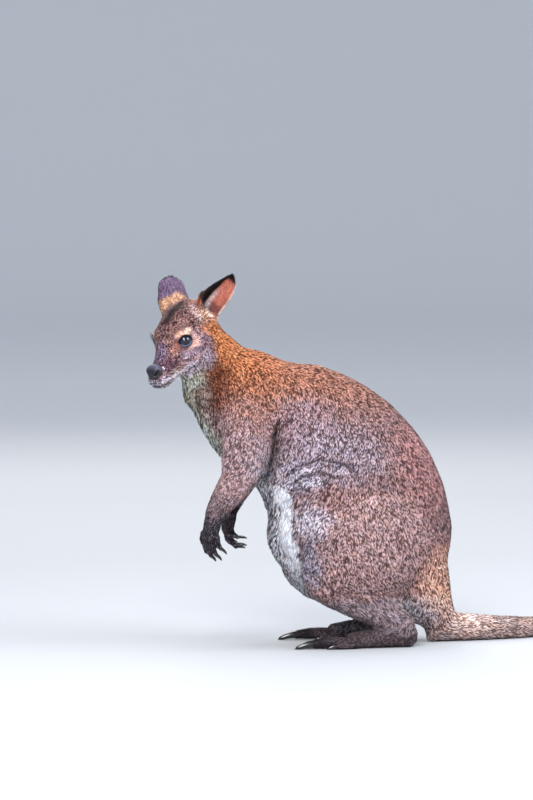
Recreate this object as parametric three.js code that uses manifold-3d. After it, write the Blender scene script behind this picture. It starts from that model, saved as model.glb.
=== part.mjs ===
// A red-necked wallaby, life size, sitting up on its haunches with its head turned to its left.
// Millimetres, +Z up. The animal faces -X, so its left side is at -Y. The floor is Z = 0.
// Every solid runs out to the tips of the coat.
//
// The body is a set of lofts along smooth spines. Each loft is made twice: at its own size, and grown
// by GAP as the tool that cuts its neighbours, so that parts meet without overlap.

import * as THREE from "three";
import { LoftGeometry } from "three/addons/geometries/LoftGeometry.js";
import { mergeVertices } from "three/addons/utils/BufferGeometryUtils.js";
import Module from "manifold-3d";

const wasm = await Module();
wasm.setup();

// ---------------------------------------------------------------- driving dimensions

const GAP = 0.35; // clearance between two parts that meet
const FLAT = 1.2; // how much of a foot or the tail is planed off to rest on the floor
const WELD = 1e-3; // points closer than this are one point

// Head. It is modelled along its own axes: f forward to the nose, u up, l to the animal's left,
// from the point midway between the eyes.
const HEAD_AT = [-369, -18, 537]; // midway between the eyes, in the body's frame
const HEAD_YAW = 40; // degrees that the head turns from straight ahead towards the left
const HEAD_PITCH = 40; // degrees that the muzzle points below level
const HEAD_ROLL = 3; // degrees that its left side is raised
const EYE_RADIUS = 13.5;
const EYE_SPREAD = 24; // from the middle plane to an eyeball's centre
const EAR_LENGTH = 80;
const EAR_WIDTH = 25; // half, at its widest
const EAR_TIP_WIDTH = 3;
const EAR_WALL = 3.6;
const EAR_ROLL_BASE = 118; // half of the arc that the ear's wall runs through, in degrees
const EAR_ROLL_TIP = 42;

// Legs
const HIP_SPREAD = 72; // from the middle plane to the middle of a haunch
const FOOT_SPREAD = 70;
const HEEL_X = 46;
const TOE_X = -128; // where the long fourth toe ends and its claw begins

// Tail, a cubic Bezier on the floor from the root to the tip
const TAIL_ROOT_RADIUS = 29;
const TAIL_TIP_RADIUS = 8;
const TAIL_PATH = [
  [100, 0],
  [270, -6],
  [455, 40],
  [541.3, 300],
];
const TAIL_LENGTHS = ["tail_root", "tail_middle", "tail_tip"];

const COLOURS = {
  coat: 0x8a6a58,
  rufous: 0x9c6440,
  grey: 0x8f8480,
  dark: 0x2c2624,
  leather: 0x1d1b20,
  eye: 0x0c0a10,
  horn: 0x17151a,
};

// ---------------------------------------------------------------- vectors and frames

const vec = (x, y, z) => new THREE.Vector3(x, y, z);
const RIGHT = vec(0, 1, 0);
const UP = vec(0, 0, 1);
const radians = THREE.MathUtils.degToRad;
const mix = THREE.MathUtils.lerp;

// The head's own axes
const heading = vec(-Math.cos(radians(HEAD_YAW)), -Math.sin(radians(HEAD_YAW)), 0);
const headForward = heading
  .clone()
  .multiplyScalar(Math.cos(radians(HEAD_PITCH)))
  .addScaledVector(UP, -Math.sin(radians(HEAD_PITCH)));
const headLeft = UP.clone().cross(heading).applyAxisAngle(headForward, radians(HEAD_ROLL)).normalize();
const headUp = headForward.clone().cross(headLeft).normalize();
const headAxes = [headForward, headUp, headLeft.clone().negate()];

/** A point given in the head's own frame, in the body's frame. */
function inHead(f, u, l = 0) {
  return vec(...HEAD_AT)
    .addScaledVector(headForward, f)
    .addScaledVector(headUp, u)
    .addScaledVector(headLeft, l);
}

// ---------------------------------------------------------------- lofts

const station = (at, up, down, side) => ({ at, up, down, side });

/** The point at angle a on a section whose corners are rounder (power 2) or squarer (above 2). */
function rim(centre, across, upward, size, a, power) {
  const bend = (v) => Math.sign(v) * Math.abs(v) ** (2 / power);
  const height = Math.sin(a) > 0 ? size.x : size.y;
  return centre
    .clone()
    .addScaledVector(across, size.z * bend(Math.cos(a)))
    .addScaledVector(upward, height * bend(Math.sin(a)));
}

/**
 * A closed body through stations along a smooth spine, rounded off at both ends.
 * Each station has a centre, half heights above and below it, and a half width along `across`.
 * `around` counts the points of a section, `along` the sections from one station to the next and
 * `caps` those of a rounded end, and `ends` are the ends' reaches as shares of the section's size.
 */
function loft(stations, { across = RIGHT, around, along = 1, caps = 2, grow, power = 2, ends }) {
  const spine = new THREE.CatmullRomCurve3(stations.map((s) => s.at));
  const sizes = new THREE.CatmullRomCurve3(
    stations.map((s) => vec(s.up + grow, s.down + grow, s.side + grow)),
    false,
    "catmullrom",
    0.5,
  );
  const ring = (centre, tangent, size) => {
    const side = across.clone().addScaledVector(tangent, -across.dot(tangent)).normalize();
    const upward = tangent.clone().cross(side);
    const turn = (2 * Math.PI) / around;
    return Array.from({ length: around }, (_, i) => rim(centre, side, upward, size, turn * i, power));
  };
  const rings = [];
  const cap = (t, sign, reach) => {
    const tangent = spine.getTangent(t);
    const size = sizes.getPoint(t);
    const depth = (reach * (size.x + size.y + size.z)) / 3 + grow;
    const made = Array.from({ length: caps }, (_, i) => {
      const swing = (Math.PI / 2) * ((i + 0.5) / (caps + 0.5)); // from the pole towards the section
      return ring(
        spine.getPoint(t).addScaledVector(tangent, sign * depth * Math.cos(swing)),
        tangent,
        size.clone().multiplyScalar(Math.sin(swing)),
      );
    });
    return sign < 0 ? made : made.reverse();
  };
  const count = (stations.length - 1) * along;
  rings.push(...cap(0, -1, ends[0]));
  for (let i = 0; i <= count; i++) {
    const t = i / count;
    rings.push(ring(spine.getPoint(t), spine.getTangent(t), sizes.getPoint(t)));
  }
  rings.push(...cap(1, 1, ends[1]));
  return solid(new LoftGeometry(rings, { capStart: true, capEnd: true }));
}

/** An ellipsoid with its axes along three given directions. */
function ellipsoid(centre, radii, axes, grow, detail) {
  const ball = new THREE.SphereGeometry(1, detail, Math.round(detail * 0.7));
  ball.scale(...radii.map((r) => r + grow));
  ball.applyMatrix4(new THREE.Matrix4().makeBasis(...axes).setPosition(centre));
  return solid(ball);
}

// ---------------------------------------------------------------- solids

/** A closed geometry as a manifold solid. */
function solid(geometry) {
  const bare = new THREE.BufferGeometry().setAttribute("position", geometry.getAttribute("position"));
  bare.setIndex(geometry.index);
  const merged = mergeVertices(bare, WELD);
  return new wasm.Manifold(
    new wasm.Mesh({
      numProp: 3,
      vertProperties: merged.attributes.position.array,
      triVerts: new Uint32Array(merged.index.array),
    }),
  );
}

/** The largest piece of a solid that a cut has left in several. */
function largest(made) {
  return made.decompose().reduce((a, b) => (b.volume() > a.volume() ? b : a));
}

/** A named mesh of a manifold solid. */
function meshOf(name, made, colour, roughness) {
  const { vertProperties, triVerts } = made.getMesh();
  const geometry = new THREE.BufferGeometry()
    .setAttribute("position", new THREE.BufferAttribute(vertProperties, 3))
    .setIndex(new THREE.BufferAttribute(triVerts, 1));
  geometry.computeVertexNormals();
  const material = new THREE.MeshStandardMaterial({ color: colour, roughness, metalness: 0 });
  const mesh = new THREE.Mesh(geometry, material);
  mesh.name = name;
  return mesh;
}

/** The half space below the floor, as a box that planes the resting parts flat. */
function underFloor() {
  const slab = new THREE.BoxGeometry(2000, 2000, 100);
  slab.translate(0, 0, -slab.parameters.depth / 2);
  return solid(slab);
}

// ---------------------------------------------------------------- head

function skull(grow) {
  const stations = [
    // forward, top, bottom, half width
    [81, -17, -39, 16], // lips and chin
    [70, -6, -50, 20.5],
    [50, -1, -57, 24], // muzzle
    [24, 9, -62, 27.5],
    [2, 25, -66, 34], // eyes
    [-22, 36, -65, 38], // cheeks
    [-48, 37, -56, 38], // crown
    [-72, 27, -40, 34], // back of the skull
  ].map(([f, top, bottom, side]) => {
    const middle = mix(top, bottom, 0.5);
    return station(inHead(f, middle), top - middle, middle - bottom, side);
  });
  const cranium = loft(stations, { across: headLeft, around: 16, grow, power: 2.15, ends: [0.25, 0.6] });
  const brow = (l) => ellipsoid(inHead(-4, 14, l), [18, 8, 9], headAxes, grow, 7);
  const cheek = (l) => ellipsoid(inHead(-20, -31, l), [34, 27, 20], headAxes, grow, 7);
  return [brow(23), brow(-23), cheek(22), cheek(-22)].reduce((made, bump) => made.add(bump), cranium);
}

function eyeball(side, grow) {
  const l = side === "left" ? EYE_SPREAD : -EYE_SPREAD;
  return ellipsoid(inHead(0, 0, l), [EYE_RADIUS, EYE_RADIUS, EYE_RADIUS], headAxes, grow, 10);
}

/** The bare nose: a rounded shield that slopes down the end of the muzzle, with two nostrils. */
function nose(grow) {
  const pad = loft(
    [
      station(inHead(66, -15), 12, 12, 13),
      station(inHead(72.5, -8), 13.5, 13.5, 14.5),
      station(inHead(75.5, -4.7), 9.5, 9.5, 10.5),
    ],
    { across: headLeft, around: 12, caps: 1, grow, ends: [0.3, 0.25] },
  );
  const nostril = (l) => ellipsoid(inHead(80, -9, l), [4.5, 2.6, 3], headAxes, 0, 7);
  return pad.subtract(nostril(9)).subtract(nostril(-9));
}

/**
 * An ear: a leaf-shaped cup that is rolled almost into a tube at its base and opens towards its tip.
 * Its sections are crescents in the plane across its axis.
 */
function ear({ base, axis, opening }, grow) {
  const side = axis.clone().cross(opening).normalize();
  const open = side.clone().cross(axis).normalize();
  const rows = 7;
  const half = 4; // steps from the middle of the crescent to its edge
  const rings = [];
  for (let i = 0; i <= rows; i++) {
    const t = i / rows;
    const leaf = Math.max(0, Math.sin(Math.PI * (0.2 + 0.8 * t))) ** 0.55; // share of the full width
    const width = mix(EAR_TIP_WIDTH, EAR_WIDTH, leaf);
    const roll = radians(mix(EAR_ROLL_BASE, EAR_ROLL_TIP, t ** 0.6));
    const reach = Math.min(roll, Math.PI / 2);
    const radius = width / Math.sin(reach);
    const centre = base
      .clone()
      .addScaledVector(axis, EAR_LENGTH * t + grow * (2 * t - 1))
      .addScaledVector(open, radius * Math.cos(reach));
    const wall = (EAR_WALL * (1 - 0.35 * t)) / 2 + grow;
    const at = (r, j) => {
      const a = (roll * j) / half;
      return centre.clone().addScaledVector(side, r * Math.sin(a)).addScaledVector(open, -r * Math.cos(a));
    };
    const ring = [];
    for (let j = half; j >= -half; j--) ring.push(at(radius - wall, -j));
    for (let j = -half; j <= half; j++) ring.push(at(radius + wall, -j));
    rings.push(ring);
  }
  return solid(new LoftGeometry(rings, { capStart: true, capEnd: true }));
}

const EARS = {
  left: { base: inHead(-76, -2, 32), axis: vec(0.52, -0.26, 0.81), opening: vec(0.2, -0.87, -0.1) },
  right: { base: inHead(-60, -4, -30), axis: vec(-0.05, 0.42, 0.9), opening: vec(-0.1, 0.9, 0.1) },
};

// ---------------------------------------------------------------- neck, trunk and tail

function neck(grow) {
  const stations = [
    station(inHead(-52, -16), 52, 36, 39),
    station(vec(-318, 6, 517), 64, 47, 46),
    station(vec(-287, 3, 479), 68, 75, 52),
    station(vec(-252, 0, 444), 74, 74, 50),
  ];
  return loft(stations, { around: 12, along: 2, grow, ends: [0.4, 0.4] });
}

function trunk(grow) {
  const stations = [
    // centre x and z, half depth to the back, to the belly, half width
    [-268, 459, 86, 80, 52], // base of the neck
    [-205, 398, 121, 104, 68], // chest
    [-139, 360, 141, 120, 80], // ribs
    [-78, 316, 150, 166, 92], // loins and belly
    [-31, 255, 153, 181, 99],
    [8, 179, 140, 172, 96], // rump
    [48, 112, 112, 94, 76],
    [92, 66, 57, 50, 48], // root of the tail
    [119, 34, 31, 29, 31],
  ].map(([x, z, back, belly, side]) => station(vec(x, 0, z), back, belly, side));
  return loft(stations, { around: 16, along: 2, grow, power: 2.1, ends: [0.5, 0.3] });
}

const tailPath = new THREE.CubicBezierCurve(...TAIL_PATH.map(([x, y]) => new THREE.Vector2(x, y)));

/** The tail: its underside lies at the floor's level all the way. */
function tail(grow) {
  const steps = 10;
  const stations = Array.from({ length: steps }, (_, i) => {
    const t = i / (steps - 1);
    const p = tailPath.getPoint(t);
    const radius = mix(TAIL_ROOT_RADIUS, TAIL_TIP_RADIUS, t ** 0.72);
    return station(vec(p.x, p.y, radius - FLAT), radius, radius, radius * 0.95);
  });
  return loft(stations, { around: 12, grow, ends: [0.4, 1.6] });
}

/** The tail cut across its length into as many parts as it has names. */
function tailParts(whole) {
  const lengths = [];
  let rest = whole;
  for (let i = 1; i < TAIL_LENGTHS.length; i++) {
    const t = i / TAIL_LENGTHS.length;
    const p = tailPath.getPointAt(t);
    const along = tailPath.getTangentAt(t);
    const knife = new THREE.BoxGeometry(GAP, 4 * TAIL_ROOT_RADIUS, 4 * TAIL_ROOT_RADIUS);
    knife.rotateZ(Math.atan2(along.y, along.x));
    knife.translate(p.x, p.y, 0);
    const pieces = rest.subtract(solid(knife)).decompose();
    pieces.sort((a, b) => a.boundingBox().min[0] - b.boundingBox().min[0]);
    lengths.push(pieces[0]);
    rest = pieces[1];
  }
  return [...lengths, rest];
}

// ---------------------------------------------------------------- forelegs

// Joints of each foreleg, and how its paw hangs: the way from wrist to knuckles, the way that the
// back of the paw faces, and how far the fingers curl at the knuckles, in degrees.
const FORELEGS = {
  left: {
    shoulder: vec(-246, -42, 419),
    middle: vec(-246, -56, 367),
    elbow: vec(-240, -62, 315),
    wrist: vec(-302, -62, 236),
    paw: vec(-0.2, 0.05, -0.98),
    back: vec(-0.8, -0.6, 0.1),
    curl: 42,
  },
  right: {
    shoulder: vec(-236, 42, 419),
    middle: vec(-226, 56, 367),
    elbow: vec(-211, 62, 315),
    wrist: vec(-251, 54, 238),
    paw: vec(-0.12, -0.05, -0.98),
    back: vec(-0.85, 0.5, 0.1),
    curl: 62,
  },
};
const PALM_LENGTH = 43;
const PALM_WIDTH = 17.5; // half
const FINGERS = 5;
const FINGER_LENGTH = 33;
const FINGER_RADIUS = 5.3;
const CLAW_LENGTH = 15;
const CLAW_RADIUS = 2.1;
const CLAW_INSET = 2; // how far a claw's root lies inside its finger or toe

function upperArm(side, grow) {
  const { shoulder, middle, elbow } = FORELEGS[side];
  const stations = [
    station(shoulder, 44, 44, 30),
    station(middle, 44, 44, 31),
    station(elbow.clone().lerp(middle, 0.35), 38, 51, 30),
    station(elbow, 31, 52, 27),
  ];
  return loft(stations, { around: 12, grow, ends: [0.6, 0.6] });
}

function forearm(side, grow) {
  const { elbow, wrist } = FORELEGS[side];
  const bow = vec(-5, 0, -4);
  const stations = [
    station(elbow, 27, 34, 25),
    station(elbow.clone().lerp(wrist, 0.35).add(bow), 29, 33, 25),
    station(elbow.clone().lerp(wrist, 0.7).add(bow), 24, 25, 21),
    station(wrist, 19, 19, 18),
  ];
  return loft(stations, { around: 10, grow, ends: [0.6, 0.6] });
}

/** A paw's own axes: down to the knuckles, out through its back, and across it. */
function pawAxes(side) {
  const { paw: way, back } = FORELEGS[side];
  const down = way.clone().normalize();
  const out = back.clone().addScaledVector(down, -back.dot(down)).normalize();
  return { down, out, across: down.clone().cross(out).normalize() };
}

/** Where each finger of a paw runs: knuckle, middle joint and tip, and the tip of its claw. */
function fingersOf(side) {
  const { wrist, curl } = FORELEGS[side];
  const { down, out, across } = pawAxes(side);
  return Array.from({ length: FINGERS }, (_, i) => {
    const spread = i - (FINGERS - 1) / 2; // -2 to 2 across the paw
    const length = FINGER_LENGTH * (1 - 0.07 * spread * spread);
    const fan = radians(9 * spread);
    const bent = (degrees) =>
      down.clone().applyAxisAngle(across, radians(-degrees)).applyAxisAngle(out, -fan).normalize();
    const knuckle = wrist
      .clone()
      .addScaledVector(down, PALM_LENGTH * (1 - 0.05 * spread * spread))
      .addScaledVector(across, spread * PALM_WIDTH * 0.43);
    const joint = knuckle.clone().addScaledVector(bent(curl * 0.3), length * 0.55);
    const way = bent(curl); // of the last joint
    const tip = joint.clone().addScaledVector(way, length * 0.5);
    const claw = tip.clone().addScaledVector(bent(curl * 1.5), CLAW_LENGTH);
    return { knuckle, joint, tip, claw, way, top: way.clone().cross(across) };
  });
}

function paw(side, grow) {
  const { wrist } = FORELEGS[side];
  const { down, across } = pawAxes(side);
  const at = (share) => wrist.clone().addScaledVector(down, PALM_LENGTH * share);
  const palm = loft(
    [
      station(at(-0.1), 16, 15.5, 16.5),
      station(at(0.45), 14, 13, PALM_WIDTH),
      station(at(0.95), 10.5, 10, PALM_WIDTH),
    ],
    { across, around: 8, grow, ends: [0.4, 0.45] },
  );
  const round = (at, radius) => station(at, radius, radius, radius);
  const fingers = fingersOf(side).map(({ knuckle, joint, tip }) =>
    loft(
      [round(knuckle, FINGER_RADIUS * 1.2), round(joint, FINGER_RADIUS), round(tip, FINGER_RADIUS * 0.75)],
      { across, around: 6, caps: 1, grow, ends: [0.8, 0.8] },
    ),
  );
  return fingers.reduce((made, finger) => made.add(finger), palm);
}

/** A claw: a spike from inside a finger or toe to its point, bowed by `arch` at its middle. */
function claw(root, tip, arch, radius, grow) {
  const middle = root.clone().lerp(tip, 0.5).add(arch);
  const stations = [
    station(root, radius, radius, radius * 0.8),
    station(middle, radius * 0.85, radius * 0.85, radius * 0.65),
    station(tip, radius * 0.22, radius * 0.22, radius * 0.2),
  ];
  return loft(stations, { around: 5, caps: 1, grow, ends: [0.3, 0.8] });
}

// ---------------------------------------------------------------- hind legs

function haunch(s, grow) {
  const y = HIP_SPREAD * s;
  const stations = [
    station(vec(12, y * 0.86, 236), 104, 92, 42),
    station(vec(-42, y * 1.02, 180), 112, 106, 50),
    station(vec(-98, y * 1.1, 134), 72, 82, 44),
    station(vec(-128, y * 1.12, 112), 42, 46, 33),
  ];
  return loft(stations, { around: 12, along: 2, grow, ends: [0.55, 0.5] });
}

function shin(s, grow) {
  const y = HIP_SPREAD * s;
  const stations = [
    station(vec(-106, y * 1.08, 106), 34, 32, 28),
    station(vec(-50, y * 1.06, 80), 42, 32, 29),
    station(vec(4, y * 1.0, 52), 34, 25, 25),
    station(vec(36, FOOT_SPREAD * s, 32), 24, 20, 20),
  ];
  return loft(stations, { around: 12, grow, ends: [0.6, 0.7] });
}

// Toes of a hind foot: the long fourth, the short fifth outside it, and the thin joined second and third
const TOES = [
  { name: "fourth", start: -62, end: TOE_X, offset: 0, radius: 10.5, claw: 24, clawRadius: 4.6 },
  { name: "fifth", start: -52, end: -88, offset: 15, radius: 7.2, claw: 14, clawRadius: 3 },
  { name: "third", start: -50, end: -84, offset: -13.5, radius: 4.2, claw: 9, clawRadius: 1.8 },
  { name: "second", start: -50, end: -82, offset: -18.5, radius: 3.8, claw: 9, clawRadius: 1.8 },
];

/** A point of a hind foot, its y counted outwards from the foot's own middle line. */
const inFoot = (s, x, outwards, z) => vec(x, s * (FOOT_SPREAD + outwards), z);

function foot(s, grow) {
  /** A section of half height h and half width w, low enough for the floor to plane its underside. */
  const planed = (x, outwards, h, w = h) => station(inFoot(s, x, outwards, h - FLAT), h, h, w);
  const sole = loft(
    [planed(HEEL_X, 0, 21, 17), planed(10, 0, 19, 17), planed(-30, 0, 16, 18), planed(-62, 0, 13, 19)],
    { around: 10, caps: 1, grow, power: 2.4, ends: [0.6, 0.5] },
  );
  const toes = TOES.map(({ start, end, offset, radius }) =>
    loft(
      [
        planed(start, offset * 0.8, radius),
        planed(mix(start, end, 0.6), offset, radius),
        planed(end, offset, radius * 0.8),
      ],
      { around: 6, caps: 1, grow, power: 2.2, ends: [0.6, 0.7] },
    ),
  );
  return toes.reduce((made, toe) => made.add(toe), sole);
}

// ---------------------------------------------------------------- the parts, first come, first kept

const SIDES = { left: -1, right: 1 };
const parts = []; // { name, colour, make(grow), roughness }
const add = (name, colour, make, roughness = 0.85) => parts.push({ name, colour, make, roughness });

for (const side of Object.keys(SIDES)) add(`eye_${side}`, COLOURS.eye, (grow) => eyeball(side, grow), 0.1);
add("nose", COLOURS.leather, nose, 0.4);
add("head", COLOURS.coat, skull);
for (const [side, s] of Object.entries(SIDES)) {
  fingersOf(side).forEach(({ tip, claw: point, way, top }, i) => {
    const root = tip.clone().addScaledVector(way, -CLAW_INSET);
    const arch = top.clone().multiplyScalar(1.2);
    const make = (grow) => claw(root, point, arch, CLAW_RADIUS, grow);
    add(`claw_fore_${side}_${i + 1}`, COLOURS.horn, make, 0.35);
  });
  for (const { name, end, offset, radius, claw: length, clawRadius } of TOES) {
    const root = inFoot(s, end + CLAW_INSET, offset, radius * 0.8);
    const point = inFoot(s, end - radius * 0.6 - length, offset, 1.6);
    const arch = vec(0, 0, radius * 0.22);
    const make = (grow) => claw(root, point, arch, clawRadius, grow);
    add(`claw_hind_${side}_${name}`, COLOURS.horn, make, 0.35);
  }
}
for (const [side, s] of Object.entries(SIDES)) {
  add(`haunch_${side}`, COLOURS.coat, (grow) => haunch(s, grow));
  add(`upper_arm_${side}`, COLOURS.coat, (grow) => upperArm(side, grow));
}
add("trunk", COLOURS.coat, trunk);
add("neck", COLOURS.rufous, neck);
for (const side of Object.keys(SIDES)) add(`ear_${side}`, COLOURS.grey, (grow) => ear(EARS[side], grow));
for (const [side, s] of Object.entries(SIDES)) {
  add(`forearm_${side}`, COLOURS.coat, (grow) => forearm(side, grow));
  add(`paw_${side}`, COLOURS.dark, (grow) => paw(side, grow));
  add(`shin_${side}`, COLOURS.grey, (grow) => shin(s, grow));
  add(`foot_${side}`, COLOURS.dark, (grow) => foot(s, grow));
}
add("tail", COLOURS.grey, tail);

/** Whether two bounding boxes come within a gap of each other. */
function near(a, b) {
  return [0, 1, 2].every((k) => a.min[k] <= b.max[k] + GAP && b.min[k] <= a.max[k] + GAP);
}

const floor = underFloor();
const wallaby = new THREE.Group();
const kept = []; // the grown solids of the parts made so far
for (const { name, colour, make, roughness } of parts) {
  let made = make(0);
  for (const tool of kept) if (near(made.boundingBox(), tool.boundingBox())) made = made.subtract(tool);
  made = largest(made.subtract(floor));
  kept.push(make(GAP));
  const lengths = name === "tail" ? tailParts(made) : [made];
  const names = name === "tail" ? TAIL_LENGTHS : [name];
  lengths.forEach((piece, i) => wallaby.add(meshOf(names[i], piece, colour, roughness)));
}

// The origin is under the middle of the box round the whole animal, on the floor.
const middle = new THREE.Box3().setFromObject(wallaby).getCenter(vec(0, 0, 0));
wallaby.position.set(-middle.x, -middle.y, 0);

export default wallaby;
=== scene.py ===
"""A red-necked wallaby, life size, sitting up: skin, a coat of solid tufts, eyes, nose, claws, whiskers.

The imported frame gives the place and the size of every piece. Lengths are in millimetres unless a name
says otherwise, and become metres when a mesh is written.

The row frame: the animal faces -X, its left side is at -Y and its right side at +Y. Three spaces place
the features, each a set of three coordinates in millimetres:

    BODY  x along the row frame, distance out from the body's middle plane, height above the floor
    HEAD  f forward to the nose, u up, distance out from the head's middle plane, from between the eyes
    EAR   distance from the ear's base along its axis, across it towards its front edge, out of its cup
"""

import logging
import math
from dataclasses import dataclass, field
from enum import Enum

import bmesh
import bpy
import numpy as np
from mathutils import Matrix, Vector
from mathutils.bvhtree import BVHTree
from mathutils.kdtree import KDTree


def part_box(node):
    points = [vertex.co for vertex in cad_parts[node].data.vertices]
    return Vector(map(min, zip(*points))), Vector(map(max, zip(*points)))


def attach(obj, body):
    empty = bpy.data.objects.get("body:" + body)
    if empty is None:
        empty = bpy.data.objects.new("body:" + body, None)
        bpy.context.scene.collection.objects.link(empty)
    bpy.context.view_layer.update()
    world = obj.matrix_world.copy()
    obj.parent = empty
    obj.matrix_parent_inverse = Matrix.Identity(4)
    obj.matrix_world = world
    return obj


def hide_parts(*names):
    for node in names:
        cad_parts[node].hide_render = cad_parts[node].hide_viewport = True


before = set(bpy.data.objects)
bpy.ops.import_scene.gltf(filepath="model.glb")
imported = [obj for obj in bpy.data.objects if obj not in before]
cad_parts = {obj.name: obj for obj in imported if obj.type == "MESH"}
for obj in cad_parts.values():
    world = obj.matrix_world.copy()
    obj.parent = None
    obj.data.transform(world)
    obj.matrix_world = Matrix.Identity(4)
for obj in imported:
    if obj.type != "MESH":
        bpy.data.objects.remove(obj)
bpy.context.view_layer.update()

LOG = logging.getLogger("wallaby")
Array = np.ndarray
Triple = tuple[float, float, float]

MM = 0.001  # metres in a millimetre
BODY_OF_ALL = "root"  # the one CAD body of a model without joints
COLOUR = "coat"  # the attribute that holds the markings, on the skin and on every tuft
UNWRAP = "OFBake"  # the UV map that the tufts share with the skin
CELL_VALUES = 8191  # how many random values the cells of clumped hair share
CELL_WAVE = 0.6  # how wavy a cell's border is, in cells
CELL_MIX = (7919, 104729, 1299709)  # primes that mix a cell's three numbers into one
WANDER = 3.5  # how far the borders of the body's markings wander, in millimetres
WANDER_SIZE = 34.0
STEEPEST = 1.8  # how far a clump's tone may stray
TONE = 0.41  # how much a clump's tone changes its colour


# ---------------------------------------------------------------------------- small tools


def linear(hex_colour: str) -> Array:
    """Turns an sRGB colour into linear light.

    Args:
        hex_colour: six hex digits after a #.

    Returns:
        Three linear values.
    """
    parts = np.array([int(hex_colour[i:i + 2], 16) for i in (1, 3, 5)]) / 255
    return np.where(parts <= 0.04045, parts / 12.92, ((parts + 0.055) / 1.055) ** 2.4)


def rgba(hex_colour: str) -> tuple[float, ...]:
    """Gives an sRGB hex colour as the four linear values of a colour socket."""
    return (*linear(hex_colour).tolist(), 1.0)


def unit(vectors: Array) -> Array:
    """Scales each vector to length one."""
    return vectors / np.maximum(np.linalg.norm(vectors, axis=-1, keepdims=True), 1e-9)


def smoothstep(low: float, high: float, value: Array) -> Array:
    """Rises smoothly from 0 at low to 1 at high, and falls where high is the smaller."""
    t = np.clip((value - low) / (high - low), 0, 1)
    return t * t * (3 - 2 * t)


def dot(a: Array, b: Array) -> Array:
    """Multiplies vectors row by row and keeps the last axis as a column."""
    return (a * b).sum(-1, keepdims=True)


def flattened(vectors: Array, normals: Array) -> Array:
    """Lays vectors down on the surface that has these normals, at length one."""
    return unit(vectors - normals * dot(vectors, normals))


def turned(vectors: Array, axes: Array, angles: Array) -> Array:
    """Turns each vector about its own axis.

    Args:
        vectors: rows at right angles to their axes.
        axes: rows of length one.
        angles: one angle a row, in radians.

    Returns:
        The turned rows.
    """
    return vectors * np.cos(angles)[:, None] + np.cross(axes, vectors) * np.sin(angles)[:, None]


def ripple(points: Array, wavelength: float, seed: int, waves: int = 7) -> Array:
    """Gives three smooth random values at each point, as sums of plane waves.

    Args:
        points: places, in millimetres.
        wavelength: the mean distance over which the values change, in millimetres.
        seed: picks the pattern.
        waves: how many waves are added.

    Returns:
        Rows of three values of about -1 to 1.
    """
    draw = np.random.default_rng(seed)
    made = np.zeros((len(points), 3))
    for _ in range(waves):
        way = unit(draw.normal(size=3)) * 2 * math.pi / (wavelength * draw.uniform(0.6, 1.6))
        phase = draw.uniform(0, 2 * math.pi, 3)
        made += np.sin((points @ way)[:, None] + phase)
    return made / math.sqrt(waves / 2) * 0.6


def cells(points: Array, size: float, seed: int) -> Array:
    """Gives each point the random value of its small wavy cell, as hairs of one clump share a tone.

    Args:
        points: places, in millimetres.
        size: of a cell, in millimetres.
        seed: picks the values.

    Returns:
        Normally distributed values.
    """
    table = np.random.default_rng(seed).normal(size=CELL_VALUES)
    corners = np.floor(points / size + ripple(points, size * 4, seed) * CELL_WAVE).astype(np.int64)
    return table[np.abs(corners @ CELL_MIX) % len(table)]


def to_line(points: Array, line: Array) -> tuple[Array, Array]:
    """Measures how far points are from a line through several corners.

    Args:
        points: rows of three.
        line: the line's corners, rows of three.

    Returns:
        The distance of each point, and how far along the line its nearest place is, from 0 to 1.
    """
    best = np.full(len(points), np.inf)
    along = np.zeros(len(points))
    for i, (a, b) in enumerate(zip(line[:-1], line[1:])):
        t = np.clip((points - a) @ (b - a) / ((b - a) @ (b - a)), 0, 1)
        gap = np.linalg.norm(points - a - t[:, None] * (b - a), axis=1)
        near = gap < best
        best = np.where(near, gap, best)
        along = np.where(near, (i + t) / (len(line) - 1), along)
    return best, along


@dataclass(frozen=True)
class Axes:
    """Three directions at right angles at a point, in millimetres of the row frame."""

    origin: Array
    rows: Array

    def local(self, points: Array) -> Array:
        """Gives row-frame points in these axes."""
        return (points - self.origin) @ self.rows.T

    def world(self, points: Array) -> Array:
        """Gives points of these axes in the row frame."""
        return np.asarray(points, float) @ self.rows + self.origin


# ---------------------------------------------------------------------------- where things are


class Space(Enum):
    """The coordinates that a feature is placed in."""

    BODY = "body"
    HEAD = "head"


class Region(Enum):
    """A stretch of the animal with a coat of its own, and the CAD nodes that are its flesh."""

    HEAD = ("head", "nose", "eye_left", "eye_right")
    EAR = ("ear_left", "ear_right")
    NECK = ("neck",)
    TRUNK = ("trunk",)
    TAIL = ("tail_root", "tail_middle", "tail_tip")
    HAUNCH = ("haunch_left", "haunch_right")
    SHIN = ("shin_left", "shin_right")
    FOOT = ("foot_left", "foot_right")
    UPPER_ARM = ("upper_arm_left", "upper_arm_right")
    FOREARM = ("forearm_left", "forearm_right")
    PAW = ("paw_left", "paw_right")


REGIONS = list(Region)
HEADS, EARS = REGIONS.index(Region.HEAD), REGIONS.index(Region.EAR)


def node_points(node: str) -> Array:
    """Gives the corners of a CAD node's mesh, in millimetres.

    Args:
        node: its name.

    Returns:
        One row a corner.
    """
    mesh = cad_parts[node].data
    found = np.empty(len(mesh.vertices) * 3, np.float32)
    mesh.vertices.foreach_get("co", found)
    return found.reshape(-1, 3).astype(float) / MM


def node_middle(node: str) -> Array:
    """Gives the middle of a CAD node's box, in millimetres."""
    low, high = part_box(node)
    return (np.array(low) + np.array(high)) / 2 / MM


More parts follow.
